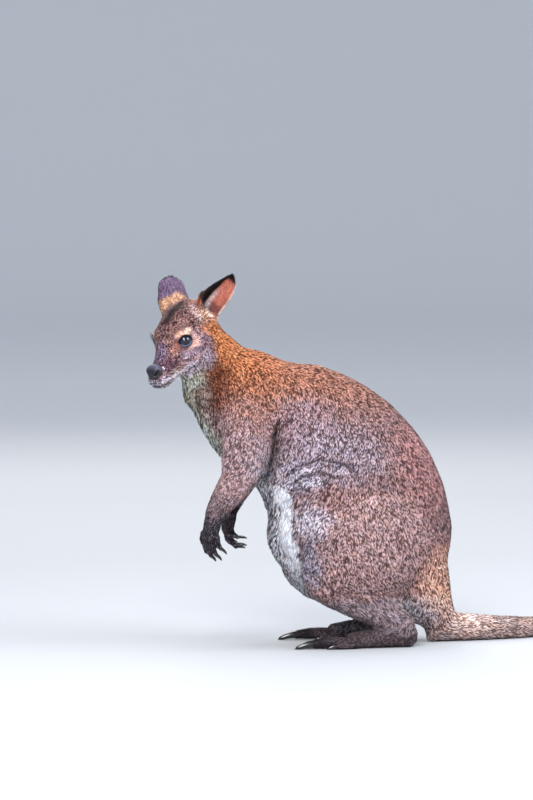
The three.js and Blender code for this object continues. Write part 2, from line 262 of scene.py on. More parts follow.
@dataclass(frozen=True)
class Ear:
    """One ear: a leaf-shaped cup, rolled almost into a tube at its base."""

    axes: Axes  # along the ear, across it, out of its cup
    front: int  # which way across leads to its front edge
    length: float = 80.0
    half_width: float = 25.0
    tip_half_width: float = 3.0
    roll_base: float = math.radians(118)
    roll_tip: float = math.radians(42)

    def chart(self, points: Array) -> tuple[Array, Array, Array, Array]:
        """Places points on the ear.

        Args:
            points: in the row frame.

        Returns:
            The share of the length from base to tip, the angle round the cup as a share of its edge's
            (positive towards the front edge), the distance from the cup's centre line, and the unit
            vectors out from that line.
        """
        local = self.axes.local(points)
        share = np.clip(local[:, 0] / self.length, 0, 1)
        leaf = np.maximum(0, np.sin(math.pi * (0.2 + 0.8 * share))) ** 0.55
        width = self.tip_half_width + (self.half_width - self.tip_half_width) * leaf
        roll = self.roll_base + (self.roll_tip - self.roll_base) * share**0.6
        reach = np.minimum(roll, math.pi / 2)
        centre = width / np.tan(np.maximum(reach, 0.3))
        out = np.column_stack([np.zeros(len(points)), local[:, 1], local[:, 2] - centre])
        angle = np.arctan2(out[:, 1] * self.front, -out[:, 2]) / roll
        return share, angle, np.linalg.norm(out, axis=1), unit(out) @ self.axes.rows


@dataclass(frozen=True)
class Anatomy:
    """The frames of the head, the eyes and the ears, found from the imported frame."""

    head: Axes  # rows f, u and l
    middle: float  # y of the body's middle plane
    ears: tuple[Ear, Ear]

    YAW = math.radians(40)  # the head turns to its left
    PITCH = math.radians(40)  # the muzzle points down
    EAR_BASES = ((-76.0, -2.0, 32.0), (-60.0, -4.0, -30.0))  # left and right, in the head's axes
    EAR_WAYS = ((0.52, -0.26, 0.81), (-0.05, 0.42, 0.9))
    EAR_OPENINGS = ((0.2, -0.87, -0.1), (-0.1, 0.9, 0.1))

    @classmethod
    def find(cls) -> "Anatomy":
        """Finds the frames from the eyes and from the body's own box.

        Returns:
            The anatomy.
        """
        left, right = node_middle("eye_left"), node_middle("eye_right")
        level = np.array([-math.cos(cls.YAW), -math.sin(cls.YAW), 0.0]) * math.cos(cls.PITCH)
        forward = level - np.array([0.0, 0.0, math.sin(cls.PITCH)])
        sideways = unit(left - right)
        head = Axes((left + right) / 2, np.array([forward, np.cross(forward, sideways), sideways]))
        ears = []
        for base, way, opening, front in zip(cls.EAR_BASES, cls.EAR_WAYS, cls.EAR_OPENINGS, (1, -1)):
            along = unit(np.array(way))
            out = unit(np.array(opening) - along * (np.array(opening) @ along))
            rows = np.array([along, np.cross(out, along), out])
            ears.append(Ear(Axes(head.world(np.array(base)), rows), front))
        middle = float(node_middle("trunk")[1])
        return cls(head, middle, (ears[0], ears[1]))

    def place(self, points: Array, space: Space) -> Array:
        """Gives row-frame points in a space, with both sides folded onto one.

        Args:
            points: in the row frame.
            space: the space to give them in.

        Returns:
            Rows of that space's coordinates.
        """
        if space is Space.BODY:
            return np.column_stack([points[:, 0], np.abs(points[:, 1] - self.middle), points[:, 2]])
        local = self.head.local(points)
        local[:, 2] = np.abs(local[:, 2])
        return local

    def nearest_ear(self, points: Array) -> Array:
        """Gives the number of the ear whose base each point is nearest to."""
        return np.argmin([np.linalg.norm(points - ear.axes.origin, axis=1) for ear in self.ears], axis=0)

    def unfold(self, ways: Array, points: Array, space: Space) -> Array:
        """Turns directions of a space into the row frame, on the side where each point is.

        Args:
            ways: directions in the space's coordinates.
            points: the places they stand at, in the row frame.
            space: their space.

        Returns:
            Directions in the row frame.
        """
        if space is Space.BODY:
            side = np.sign(points[:, 1] - self.middle)
            return np.column_stack([ways[:, 0], ways[:, 1] * side, ways[:, 2]])
        side = np.sign(self.head.local(points)[:, 2])
        return np.column_stack([ways[:, 0], ways[:, 1], ways[:, 2] * side]) @ self.head.rows


# ---------------------------------------------------------------------------- the coat's plan


@dataclass(frozen=True)
class Pelage:
    """The coat of one region. Lengths are in millimetres."""

    colour: str
    depth: float  # from the tips of the coat down to the skin
    length: float  # of a tuft
    width: float  # of a tuft at its middle
    rise: float  # degrees that a tuft stands up from the skin at its root
    density: float  # tufts on a square millimetre
    rounding: float  # how far the skin's corners are rounded off


PELAGES: dict[Region, Pelage] = {
    Region.HEAD: Pelage("#694b47", 1.7, 4.2, 1.15, 28, 1.40, 4.6),
    # the ears' backs are dark grey with a violet sheen of sky light painted in
    Region.EAR: Pelage("#5d4a63", 0.8, 4.2, 1.00, 14, 1.20, 1.3),
    Region.NECK: Pelage("#985e3b", 4.2, 6.2, 1.45, 36, 0.66, 9.0),
    Region.TRUNK: Pelage("#7a5e5d", 4.4, 6.8, 1.60, 36, 0.60, 13.0),
    Region.TAIL: Pelage("#97807a", 3.0, 8.0, 1.60, 24, 0.50, 5.0),
    Region.HAUNCH: Pelage("#927371", 4.4, 6.8, 1.60, 35, 0.61, 12.0),
    Region.SHIN: Pelage("#7d6c70", 3.2, 9.5, 1.90, 26, 0.50, 7.0),
    Region.FOOT: Pelage("#4a3f43", 1.0, 5.5, 1.30, 18, 0.80, 2.4),
    Region.UPPER_ARM: Pelage("#957a7c", 3.8, 6.2, 1.50, 30, 0.66, 8.0),
    Region.FOREARM: Pelage("#9c8080", 2.4, 5.6, 1.35, 27, 0.80, 5.0),
    Region.PAW: Pelage("#453d45", 0.6, 4.2, 1.10, 18, 0.90, 1.1),
}


@dataclass(frozen=True)
class Patch:
    """A soft-edged patch of colour, the same on both sides of the animal."""

    colour: str
    space: Space
    at: Triple
    size: Triple  # half extents
    amount: float = 1.0
    edge: float = 0.45  # how soft its edge is, as a share of its size

    def cover(self, places: Array) -> Array:
        """Gives how much of the patch's colour each place takes.

        Args:
            places: coordinates in the patch's own space.

        Returns:
            Shares from 0 to the patch's amount.
        """
        reach = np.linalg.norm((places - self.at) / self.size, axis=1)
        return self.amount * smoothstep(1 + self.edge, 1 - self.edge, reach)


@dataclass(frozen=True)
class Stripe:
    """A soft-edged stripe of colour along a line, the same on both sides of the animal."""

    colour: str
    space: Space
    line: tuple[Triple, ...]
    half_width: float
    amount: float = 1.0
    edge: float = 0.45

    def cover(self, places: Array) -> Array:
        """Gives how much of the stripe's colour each place takes.

        Args:
            places: coordinates in the stripe's own space.

        Returns:
            Shares from 0 to the stripe's amount.
        """
        gap, _ = to_line(places, np.array(self.line))
        return self.amount * smoothstep(1 + self.edge, 1 - self.edge, gap / self.half_width)


B, H = Space.BODY, Space.HEAD

MARKINGS: tuple[Patch | Stripe, ...] = (
    # the mantle, rufous over the nape and shoulders, fading down the back
    Patch("#a76436", B, (-325, 20, 520), (75, 95, 75), 0.95, 0.4),
    Patch("#a6633d", B, (-235, 30, 500), (95, 90, 60), 0.85, 0.5),
    Patch("#946452", B, (-130, 20, 470), (130, 80, 60), 0.7, 0.5),
    # darker on the side of the neck behind the jaw: painted shade under the jaw
    Patch("#4d2218", B, (-368, 46, 462), (34, 40, 52), 0.85, 0.5),
    Patch("#88553d", B, (-300, 70, 440), (60, 50, 50), 0.6, 0.6),
    # the flank, a violet grey-brown
    # darker behind the arm: painted shade between the arm and the flank's folds
    Patch("#896f75", B, (-215, 80, 385), (52, 50, 60), 0.85, 0.6),
    Patch("#958894", B, (-160, 90, 340), (85, 50, 48), 0.7, 0.6),
    Patch("#ada0b0", B, (-225, 80, 300), (42, 50, 30), 0.8, 0.5),
    # the thigh, browner, with redder patches and a grey fold in front
    Patch("#886460", B, (-165, 92, 262), (55, 45, 22), 0.7, 0.6),
    Patch("#b9aebb", B, (-205, 95, 225), (34, 45, 34), 0.85, 0.5),
    Patch("#817c8c", B, (-212, 100, 155), (26, 45, 42), 0.85, 0.5),
    Patch("#7e6668", B, (-182, 112, 180), (16, 30, 24), 0.8, 0.6),
    Patch("#9c8180", B, (-90, 110, 200), (80, 50, 80), 0.4, 0.6),
    # the rump, warmer towards the root of the tail
    Patch("#a56f6d", B, (10, 50, 340), (60, 80, 90), 0.5, 0.6),
    Patch("#e0a088", B, (45, 40, 110), (55, 75, 60), 0.8, 0.5),
    Patch("#e0bcae", B, (95, 0, 50), (40, 50, 34), 0.7, 0.6),
    # pale underparts
    # the grey-greens of the throat and the chest (#777a69, #a2a99b) are painted green reflected light
    Patch("#777a69", B, (-410, 0, 440), (38, 26, 62), 0.95, 0.5),
    Patch("#7f7871", B, (-392, 34, 430), (22, 22, 50), 0.6, 0.5),
    Patch("#a2a99b", B, (-358, 0, 345), (48, 30, 80), 0.95, 0.45),
    Patch("#a4a2a9", B, (-278, 0, 280), (45, 60, 70), 0.9, 0.4),
    Patch("#9b99a1", B, (-255, 0, 190), (30, 42, 80), 0.95, 0.4),
    # pale lines along the ridges between the flank's folds: painted light on the ridges
    Stripe("#b9b0be", B, ((-244, 59, 288), (-218, 76, 311), (-182, 85, 320), (-146, 91, 313)), 4.5,
           0.7, 0.6),
    Stripe("#b9b0be", B, ((-238, 60, 277), (-212, 75, 292), (-180, 85, 297)), 4.0, 0.7, 0.6),
    Stripe("#f4f4fc", B, ((-247, 52, 268), (-244, 50, 250), (-241, 47, 215), (-234, 46, 171),
                          (-222, 32, 122)), 17, 1.0, 0.4),
    Patch("#c9c8cf", B, (-190, 30, 110), (60, 45, 50), 0.9, 0.5),
    Patch("#b5b0b4", B, (-60, 30, 60), (90, 38, 40), 0.8, 0.5),
    # the arms darken to the paws
    Patch("#a89aa2", B, (-275, 70, 320), (40, 40, 30), 0.6, 0.6),
    Patch("#6d5c60", B, (-362, 70, 250), (34, 40, 22), 0.85, 0.6),
    Patch("#352f36", B, (-372, 60, 205), (70, 60, 34), 1.0, 0.45),
    Patch("#3a3238", B, (-306, 40, 220), (34, 34, 34), 0.95, 0.4),
    # feet: dark toes
    Patch("#241f24", B, (-205, 70, 8), (42, 40, 20), 0.95, 0.4),
    # tail: darker above, towards a dark tip
    Patch("#6f6064", B, (330, 60, 40), (90, 120, 22), 0.5, 0.6),
    # head: a dark line down the forehead and bridge, grey sides, pale lips and chin; the violet cast of its
    # greys is painted sky light
    Patch("#543230", H, (-30, 40, 0), (52, 18, 36), 0.8, 0.5),
    Patch("#5d4a5f", H, (42, 0, 0), (26, 16, 14), 0.95, 0.5),
    Patch("#43293a", H, (50, -16, 19), (18, 13, 12), 0.85, 0.5),
    Patch("#865951", H, (26, 0, 24), (15, 10, 10), 0.9, 0.5),
    Patch("#a58e92", H, (-62, 10, 34), (18, 18, 14), 0.8, 0.6),
    Patch("#967f8e", H, (6, -24, 34), (22, 12, 16), 0.85, 0.6),
    Patch("#715d69", H, (-22, -22, 46), (20, 26, 16), 0.9, 0.5),
    Patch("#91838f", H, (0, -46, 48), (20, 14, 20), 0.85, 0.5),
    Patch("#817382", H, (22, -46, 30), (22, 10, 14), 0.8, 0.5),
    Patch("#e6b2a0", H, (-10, 7, 32.5), (11, 6, 8), 1.0, 0.4),
    Patch("#dca593", H, (5, 14, 29), (9, 5, 8), 0.85, 0.5),
    Patch("#deada2", H, (-9, -16, 37), (16, 5, 10), 0.9, 0.5),
    Patch("#c79a90", H, (-18, -6, 38), (6, 8, 8), 0.7, 0.5),
    Stripe("#1b0b0b", H, ((-60, 29, 0), (-33, 34.5, 2), (-9, 32, 3)), 6.2, 0.98, 0.5),
    Stripe("#4a3644", H, ((0, 31, -2), (20, 17, -3), (40, 4, -4), (58, -4, -6)), 6, 0.6, 0.6),
    Patch("#5a3d3c", H, (-16, 30, 17), (22, 10, 12), 0.55, 0.6),
    Patch("#5a3a38", H, (-30, 16, 33), (14, 10, 10), 0.5, 0.6),
    Patch("#a7a6a6", H, (60, -60, 0), (34, 14, 24), 0.95, 0.5),
    # the grey-green under the jaw is painted green reflected light
    Patch("#9fa294", H, (26, -66, 14), (36, 16, 30), 0.95, 0.5),
    Patch("#938790", H, (30, -54, 20), (28, 9, 16), 1.0, 0.4),
    Stripe("#958c95", H, ((82, -36, 8), (70, -38, 15), (58, -42, 18), (42, -48, 20), (28, -52, 23)),
           7.0, 1.0, 0.4),
    Stripe("#bfb3be", H, ((84, -25, 0), (76, -26, 17), (60, -32, 22), (38.6, -39.6, 24), (18.6, -43, 26),
                          (9, -39, 37)), 3.0, 1.0, 0.4),
    Patch("#9a929e", H, (85, -26, 0), (8, 8, 16), 0.95, 0.5),
    Stripe("#3f2f38", H, ((85, -31.5, 0), (78, -33.5, 16), (61, -40, 21), (38.5, -48, 22), (21.7, -49.5, 24),
                          (11.6, -43.5, 38), (4.6, -42.5, 46)), 2.2, 0.9, 0.5),
    Patch("#9f99a3", H, (80, -40, 0), (10, 8, 18), 0.9, 0.5),
    Patch("#3a2c38", H, (84, -31, 6), (4, 3.5, 6), 0.8, 0.5),
    Stripe("#8f8593", H, ((59, -7, 13), (64, -14, 17), (71, -20, 17), (78, -22, 13)), 1.9, 0.8, 0.45),
    Patch("#2c1a16", H, (-72, 14, 29), (8, 10, 8), 0.9, 0.5),
    Patch("#a8623c", H, (-82, 28, 16), (12, 12, 11), 1.0, 0.4),
    Patch("#d8b6a8", H, (-74, -7, 34), (8, 7, 8), 0.8, 0.5),
    Patch("#c08a66", H, (-62, 6, 36), (12, 14, 14), 0.7, 0.6),
)


@dataclass(frozen=True)
class Lie:
    """A place where the way that the coat lies is known."""

    space: Space
    at: Triple
    way: Triple


LIES: tuple[Lie, ...] = (
    Lie(B, (-330, 30, 565), (0.75, 0.1, -0.65)),
    Lie(B, (-250, 0, 530), (0.9, 0, -0.4)),
    Lie(B, (-120, 0, 485), (0.88, 0, -0.48)),
    Lie(B, (0, 0, 400), (0.6, 0, -0.8)),
    Lie(B, (60, 0, 290), (0.25, 0, -0.97)),
    Lie(B, (80, 0, 170), (0.15, 0, -0.99)),
    Lie(B, (82, 20, 90), (0.5, 0.1, -0.85)),
    Lie(B, (-365, 50, 500), (0.45, 0.1, -0.9)),
    Lie(B, (-345, 60, 440), (0.25, 0.1, -0.96)),
    Lie(B, (-270, 75, 450), (0.3, 0.1, -0.95)),
    Lie(B, (-310, 85, 380), (0.0, 0.05, -1)),
    Lie(B, (-290, 85, 320), (-0.3, 0, -0.95)),
    Lie(B, (-335, 75, 270), (-0.62, 0, -0.78)),
    Lie(B, (-375, 70, 215), (-0.2, 0, -0.98)),
    Lie(B, (-375, 55, 170), (0.15, 0, -0.98)),
    Lie(B, (-405, 10, 455), (0.3, 0.1, -0.95)),
    Lie(B, (-370, 0, 380), (0.3, 0, -0.95)),
    Lie(B, (-320, 0, 310), (0.35, 0, -0.93)),
    Lie(B, (-268, 0, 240), (-0.05, 0, -1)),
    Lie(B, (-250, 30, 180), (0.0, -0.15, -1)),
    Lie(B, (-225, 20, 120), (0.35, 0, -0.93)),
    Lie(B, (-130, 20, 60), (0.9, 0, -0.3)),
    Lie(B, (-245, 65, 340), (-0.25, 0.05, -0.97)),
    Lie(B, (-200, 80, 400), (0.05, 0.05, -1)),
    Lie(B, (-215, 85, 300), (-0.55, 0.05, -0.8)),
    Lie(B, (-140, 90, 340), (-0.1, 0.1, -1)),
    Lie(B, (-90, 70, 430), (0.4, 0.25, -0.9)),
    Lie(B, (-20, 85, 350), (0.3, 0.1, -0.95)),
    Lie(B, (-240, 60, 200), (-0.1, -0.1, -1)),
    Lie(B, (-190, 112, 220), (-0.2, 0, -1)),
    Lie(B, (-90, 115, 240), (0.05, 0, -1)),
    Lie(B, (0, 95, 250), (0.2, 0, -0.98)),
    Lie(B, (-190, 110, 150), (0.15, 0, -1)),
    Lie(B, (-110, 115, 140), (0.3, 0, -0.95)),
    Lie(B, (40, 80, 180), (0.25, 0, -0.97)),
    Lie(B, (30, 70, 90), (0.35, 0, -0.93)),
    Lie(B, (-120, 100, 90), (0.7, 0, -0.6)),
    Lie(B, (-60, 95, 70), (0.75, 0, -0.6)),
    Lie(B, (-10, 85, 40), (0.1, 0, -1)),
    Lie(B, (-60, 75, 25), (-1, 0, -0.2)),
    Lie(B, (-150, 75, 15), (-1, 0, -0.1)),
    Lie(H, (70, -4, 5), (-1, 0.1, 0.15)),
    Lie(H, (45, 0, 0), (-1, 0.15, 0)),
    Lie(H, (10, 26, 0), (-1, 0.3, 0)),
    Lie(H, (-20, 38, 8), (-1, 0.1, 0.15)),
    Lie(H, (-60, 38, 8), (-1, -0.1, 0.1)),
    Lie(H, (58, -22, 20), (-0.85, -0.4, 0.3)),
    Lie(H, (68, -38, 12), (-0.6, -0.7, 0.2)),
    Lie(H, (35, -25, 26), (-0.95, -0.3, 0.1)),
    Lie(H, (16, 4, 27), (-0.7, 0.6, 0.2)),
    Lie(H, (2, -20, 37), (-0.9, -0.4, 0.1)),
    Lie(H, (-20, -35, 42), (-0.8, -0.6, 0.1)),
    Lie(H, (-25, 0, 38), (-1, -0.1, 0.1)),
    Lie(H, (-8, 18, 28), (-0.85, 0.35, 0.3)),
    Lie(H, (-50, 15, 36), (-1, 0.0, 0.1)),
    Lie(H, (45, -52, 6), (-0.95, -0.3, 0)),
    Lie(H, (0, -64, 10), (-0.85, -0.5, 0)),
)


@dataclass(frozen=True)
class Growth:
    """A place where the coat is longer, thinner or stands up more than its region's."""

    space: Space
    at: Triple
    size: Triple
    length: float = 1.0  # times the region's
    rise: float = 1.0
    density: float = 1.0


GROWTHS: tuple[Growth, ...] = (
    Growth(B, (-262, 20, 190), (30, 60, 90), 1.8, 1.4),  # shaggy edge of the belly
    Growth(B, (-240, 62, 190), (22, 26, 90), 1.5, 1.15),  # inside of the thigh
    Growth(B, (-385, 0, 400), (60, 30, 110), 1.6, 1.35),  # chest
    Growth(B, (85, 0, 90), (60, 60, 60), 1.15, 1.15),  # root of the tail
    Growth(B, (-385, 60, 180), (80, 60, 50), 0.7, 0.9, 1.1),  # fingers
    Growth(H, (58, -18, 0), (26, 26, 40), 0.6, 0.75, 1.5),  # muzzle
    Growth(H, (0, 0, 33), (22, 20, 16), 0.62, 0.75, 1.5),  # round the eye
    Growth(H, (-25, -40, 40), (30, 24, 20), 0.85, 1.0, 1.3),  # cheek
    Growth(B, (-385, 45, 490), (50, 60, 60), 0.85, 0.95, 1.15),  # side of the neck behind the jaw
    Growth(H, (38, -54, 14), (34, 12, 22), 0.6, 0.9, 1.7),  # lower jaw
    Growth(H, (-83, 22, 22), (10, 10, 8), 2.2, 1.9),  # tuft between the ears
    Growth(H, (-76, -8, 34), (14, 12, 12), 1.6, 1.5),  # foot of the ear
    Growth(H, (66, -52, 0), (24, 14, 18), 0.8, 1.1, 1.2),  # chin
)


@dataclass(frozen=True)
class Crease:
    """A fold that runs along a line of the skin, the same on both sides."""

    space: Space
    line: tuple[Triple, ...]
    depth: float
    half_width: float
    shade: float = 0.0  # how much the coat darkens in it
    across: float = 1.0  # how much a distance counts that is out from the body, or up in the head

    def cover(self, places: dict[Space, Array]) -> Array:
        """Gives how deep in the fold each place lies; the fold fades at its ends.

        Args:
            places: the same places in each space's coordinates.

        Returns:
            Shares from 0 to 1.
        """
        weight = np.array([1.0, self.across, 1.0])
        gap, along = to_line(places[self.space] * weight, np.array(self.line) * weight)
        ends = smoothstep(0, 0.16, along) * smoothstep(1, 0.84, along)
        return ends * np.exp(-((gap / self.half_width) ** 2))


CREASES: tuple[Crease, ...] = (
    # behind the arm
    Crease(B, ((-254, 70, 410), (-260, 70, 378), (-262, 68, 343), (-267, 57, 308), (-277, 36, 283)),
           12, 5.5, 0.8, 0.12),
    Crease(B, ((-256, 70, 385), (-256, 68, 343), (-262, 57, 308), (-272, 36, 283)), 5, 14, 0.3, 0.3),
    # folds of the flank above the thigh
    Crease(B, ((-247, 60, 296), (-220, 76, 320), (-183, 84, 331), (-144, 90, 324), (-114, 94, 305)),
           8.0, 3.6, 0.85, 0.3),
    Crease(B, ((-238, 62, 283), (-212, 76, 302), (-178, 86, 308), (-148, 92, 298)), 7.0, 3.3, 0.8, 0.3),
    Crease(B, ((-244, 57, 271), (-216, 74, 281), (-196, 82, 276)), 7.0, 3.3, 0.8, 0.3),
    # between the belly and the thigh
    Crease(B, ((-250, 42, 262), (-252, 34, 220), (-246, 36, 170), (-226, 38, 125)), 6, 9, 0.25),
    # bend of the knee
    Crease(B, ((-208, 108, 142), (-196, 112, 122), (-172, 113, 98)), 6, 7, 0.45),
    # under the thigh
    Crease(B, ((-186, 110, 84), (-130, 112, 68), (-70, 108, 66), (-20, 98, 76)), 6, 9, 0.35),
    # behind the jaw
    Crease(H, ((-66, -12, 44), (-36, -32, 54), (-6, -52, 55), (22, -58, 42), (30, -62, 24)), 4.5, 7, 0.3),
    # mouth
    Crease(H, ((90, -31, 0), (84, -32, 10), (77, -34, 17), (61, -40, 22), (38, -48, 23), (24, -50, 24)),
           2.4, 1.8, 0.4),
    # furrow before the eye
    Crease(H, ((17, 3, 26), (26, -2, 24)), 1.2, 2.5, 0.25),
)


@dataclass(frozen=True)
class Swell:
    """A rounded rise of the skin, or a hollow where its height is negative, the same on both sides."""

    space: Space
    at: Triple
    size: Triple
    height: float


SWELLS: tuple[Swell, ...] = (
    Swell(H, (-4, 17, 28), (16, 8, 10), 1.6),  # brow
    Swell(H, (2, -20, 34), (20, 9, 12), 1.4),  # cheek bone
    Swell(H, (36, -12, 22), (14, 12, 10), -2.0),  # hollow of the muzzle's side
    Swell(H, (66, -26, 17), (18, 8, 9), 1.8),  # upper lip
    Swell(H, (82, -32, 0), (14, 16, 18), 1.6),  # chin
    Swell(H, (30, -78, 8), (26, 18, 30), -5.0),  # throat
    Swell(H, (50, -52, 10), (18, 9, 16), -2.5),  # under the jaw
    Swell(H, (40, 2, 0), (22, 8, 9), 0.8),  # bridge
    Swell(H, (-48, 20, 32), (20, 16, 12), 4.5),  # temple
    Swell(H, (-75, 26, 0), (20, 14, 20), 4.0),  # crown
    Swell(H, (-14, -38, 46), (26, 20, 18), 3.0),  # jaw
    Swell(B, (-310, 80, 420), (46, 40, 48), 2.5),  # shoulder
    Swell(B, (-205, 84, 360), (40, 40, 40), -2.5),  # behind the shoulder
    Swell(B, (-180, 95, 288), (50, 40, 20), 3.0),  # roll of the flank
    Swell(B, (-215, 100, 172), (26, 40, 46), -3.0),  # hollow in front of the thigh
    Swell(B, (-110, 115, 200), (60, 40, 60), 2.5),  # thigh
)


# ---------------------------------------------------------------------------- meshes as arrays


def read(mesh: bpy.types.Mesh, collection: str, name: str, width: int, kind: type = np.float32) -> Array:
    """Reads one property of all of a mesh's elements.

    Args:
        mesh: the mesh.
        collection: the mesh's collection that has the elements.
        name: the property.
        width: how many numbers it has on each element.
        kind: their type.

    Returns:
        One row an element.
    """
    elements = getattr(mesh, collection)
    found = np.empty(len(elements) * width, kind)
    elements.foreach_get(name, found)
    return found.reshape(-1, width)


def points_of(mesh: bpy.types.Mesh) -> Array:
    """Gives a mesh's vertices in millimetres."""
    return read(mesh, "vertices", "co", 3).astype(float) / MM


def move_points(mesh: bpy.types.Mesh, points: Array) -> None:
    """Puts a mesh's vertices at these points, in millimetres."""
    mesh.vertices.foreach_set("co", (points * MM).astype(np.float32).ravel())
    mesh.update()


def normals_of(mesh: bpy.types.Mesh) -> Array:
    """Gives the normal at each vertex."""
    return read(mesh, "vertices", "normal", 3).astype(float)


def paint(mesh: bpy.types.Mesh, colours: Array) -> None:
    """Gives each vertex its linear colour.

    Args:
        mesh: the mesh.
        colours: rows of three.
    """
    layer = mesh.color_attributes.new(COLOUR, "FLOAT_COLOR", "POINT")
    opaque = np.column_stack([colours, np.ones(len(colours))])
    layer.data.foreach_set("color", opaque.astype(np.float32).ravel())


def stand(name: str, mesh: bpy.types.Mesh, material: bpy.types.Material | None = None) -> bpy.types.Object:
    """Stands a mesh in the scene, smooth, as an object at the origin.

    Args:
        name: the object's name.
        mesh: its mesh.
        material: its finish.

    Returns:
        The object.
    """
    mesh.name = name
    if material:
        mesh.materials.append(material)
    mesh.shade_smooth()
    made = bpy.data.objects.new(name, mesh)
    bpy.context.scene.collection.objects.link(made)
    return made


def belong(piece: bpy.types.Object, slot: str, *nodes: str) -> bpy.types.Object:
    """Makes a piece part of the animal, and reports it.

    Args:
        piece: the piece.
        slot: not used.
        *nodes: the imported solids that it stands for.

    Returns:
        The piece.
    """
    if nodes:
        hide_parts(*nodes)
    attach(piece, BODY_OF_ALL)
    LOG.info("%s: %d faces", piece.name, len(piece.data.polygons))
    return piece


def mesh_from(bm: bmesh.types.BMesh) -> bpy.types.Mesh:
    """Turns a bmesh into a mesh and frees it.

    Args:
        bm: the bmesh.

    Returns:
        The mesh.
    """
    mesh = bpy.data.meshes.new("made")
    bm.to_mesh(mesh)
    bm.free()
    return mesh


@dataclass
class Graph:
    """The neighbours of every vertex of a mesh, to smooth values over it."""

    neighbours: Array
    starts: Array
    counts: Array

    @classmethod
    def of(cls, mesh: bpy.types.Mesh) -> "Graph":
        """Reads the neighbours from a mesh's edges.

        Args:
            mesh: the mesh.

        Returns:
            Its neighbours.
        """
        edges = read(mesh, "edges", "vertices", 2, np.int32)
        ends = np.concatenate([edges, edges[:, ::-1]])
        ends = ends[np.argsort(ends[:, 0], kind="stable")]
        counts = np.bincount(ends[:, 0], minlength=len(mesh.vertices))
        return cls(ends[:, 1], np.concatenate([[0], np.cumsum(counts)[:-1]]), counts)

    def smooth(self, values: Array, rounds: int, pull: float | Array = 0.6) -> Array:
        """Draws every value towards the mean of its neighbours', over and over.

        Args:
            values: one row a vertex.
            rounds: how many times.
            pull: how far each time, for all or for each vertex.

        Returns:
            The smoothed values.
        """
        counts = self.counts[:, None]
        for _ in range(rounds):
            means = np.add.reduceat(values[self.neighbours], self.starts, axis=0) / counts
            values = values + pull * (means - values)
        return values


# ---------------------------------------------------------------------------- the eyes' openings


@dataclass(frozen=True)
class Eye:
    """An eyeball and the almond-shaped opening of its lids."""

    axes: Axes  # to the inner corner, up, and out through the opening
    radius: float = 12.6
    across: float = math.radians(61)  # half the opening's angle, seen from the ball's centre
    up: float = math.radians(36)
    down: float = math.radians(39)
    lid: float = 1.25  # thickness

    PLACE = (-1.3, -2.4, 27.1)  # in the head's axes
    OPENING = (0.42, 0.30, 0.86)
    CORNER = (0.822, 0.279, -0.496)  # towards the inner corner
    INNER = 1.12  # how much shorter the opening is on that side
    LID_GAP = 0.25  # between the ball and the underside of a lid
    TUCK = 2.6  # how far the skin lies under the ball's surface inside the opening
    SOFTNESS = 1.6  # how softly a lid runs out into the face

    @classmethod
    def pair(cls, anatomy: Anatomy) -> list["Eye"]:
        """Places the left and the right eye in the head.

        Args:
            anatomy: the head's axes.

        Returns:
            The two eyes.
        """
        made = []
        for side in (1, -1):
            fold = np.array([1, 1, side])
            out = unit(np.array(cls.OPENING) * fold)
            corner = np.array(cls.CORNER) * fold
            corner = unit(corner - out * (corner @ out))
            upward = np.cross(out, corner) * side
            rows = np.array([corner, upward, out]) @ anatomy.head.rows
            made.append(cls(Axes(anatomy.head.world(np.array(cls.PLACE) * fold), rows)))
        return made

    def gauge(self, points: Array) -> tuple[Array, Array]:
        """Measures points against the opening.

        Args:
            points: in the row frame.

        Returns:
            For each point 1 on the opening's edge, less inside it and more outside; and its distance
            from the ball's centre.
        """
        local = self.axes.local(points)
        reach = np.linalg.norm(local, axis=1)
        tilt = np.arccos(np.clip(local[:, 2] / np.maximum(reach, 1e-6), -1, 1))
        flat = np.hypot(local[:, 0], local[:, 1])
        across = tilt * local[:, 0] / np.maximum(flat, 1e-6)
        height = tilt * local[:, 1] / np.maximum(flat, 1e-6)
        across = np.where(across > 0, across * self.INNER, across)
        gauges = []
        for bow, way in ((self.up, 1), (self.down, -1)):
            radius = (self.across**2 + bow**2) / (2 * bow)
            gauges.append(np.hypot(across, height * way + radius - bow) / radius)
        return np.maximum(*gauges), reach


# ---------------------------------------------------------------------------- the skin


TAIL_BEND: tuple[tuple[float, float], ...] = ((34, -93.5), (204, -99.5), (389, -53.5), (474, 206.5))


def tail_line(steps: int = 24) -> Array:
    """Gives points along the middle of the tail, on the floor, from the rump to the tip.

    Args:
        steps: how many points.

    Returns:
        The points, in millimetres of the row frame.
    """
    t = np.linspace(0, 1, steps)[:, None]
    a, b, c, d = (np.array([x, y, 18.0]) for x, y in TAIL_BEND)
    return a * (1 - t) ** 3 + 3 * b * t * (1 - t) ** 2 + 3 * c * t * t * (1 - t) + d * t**3


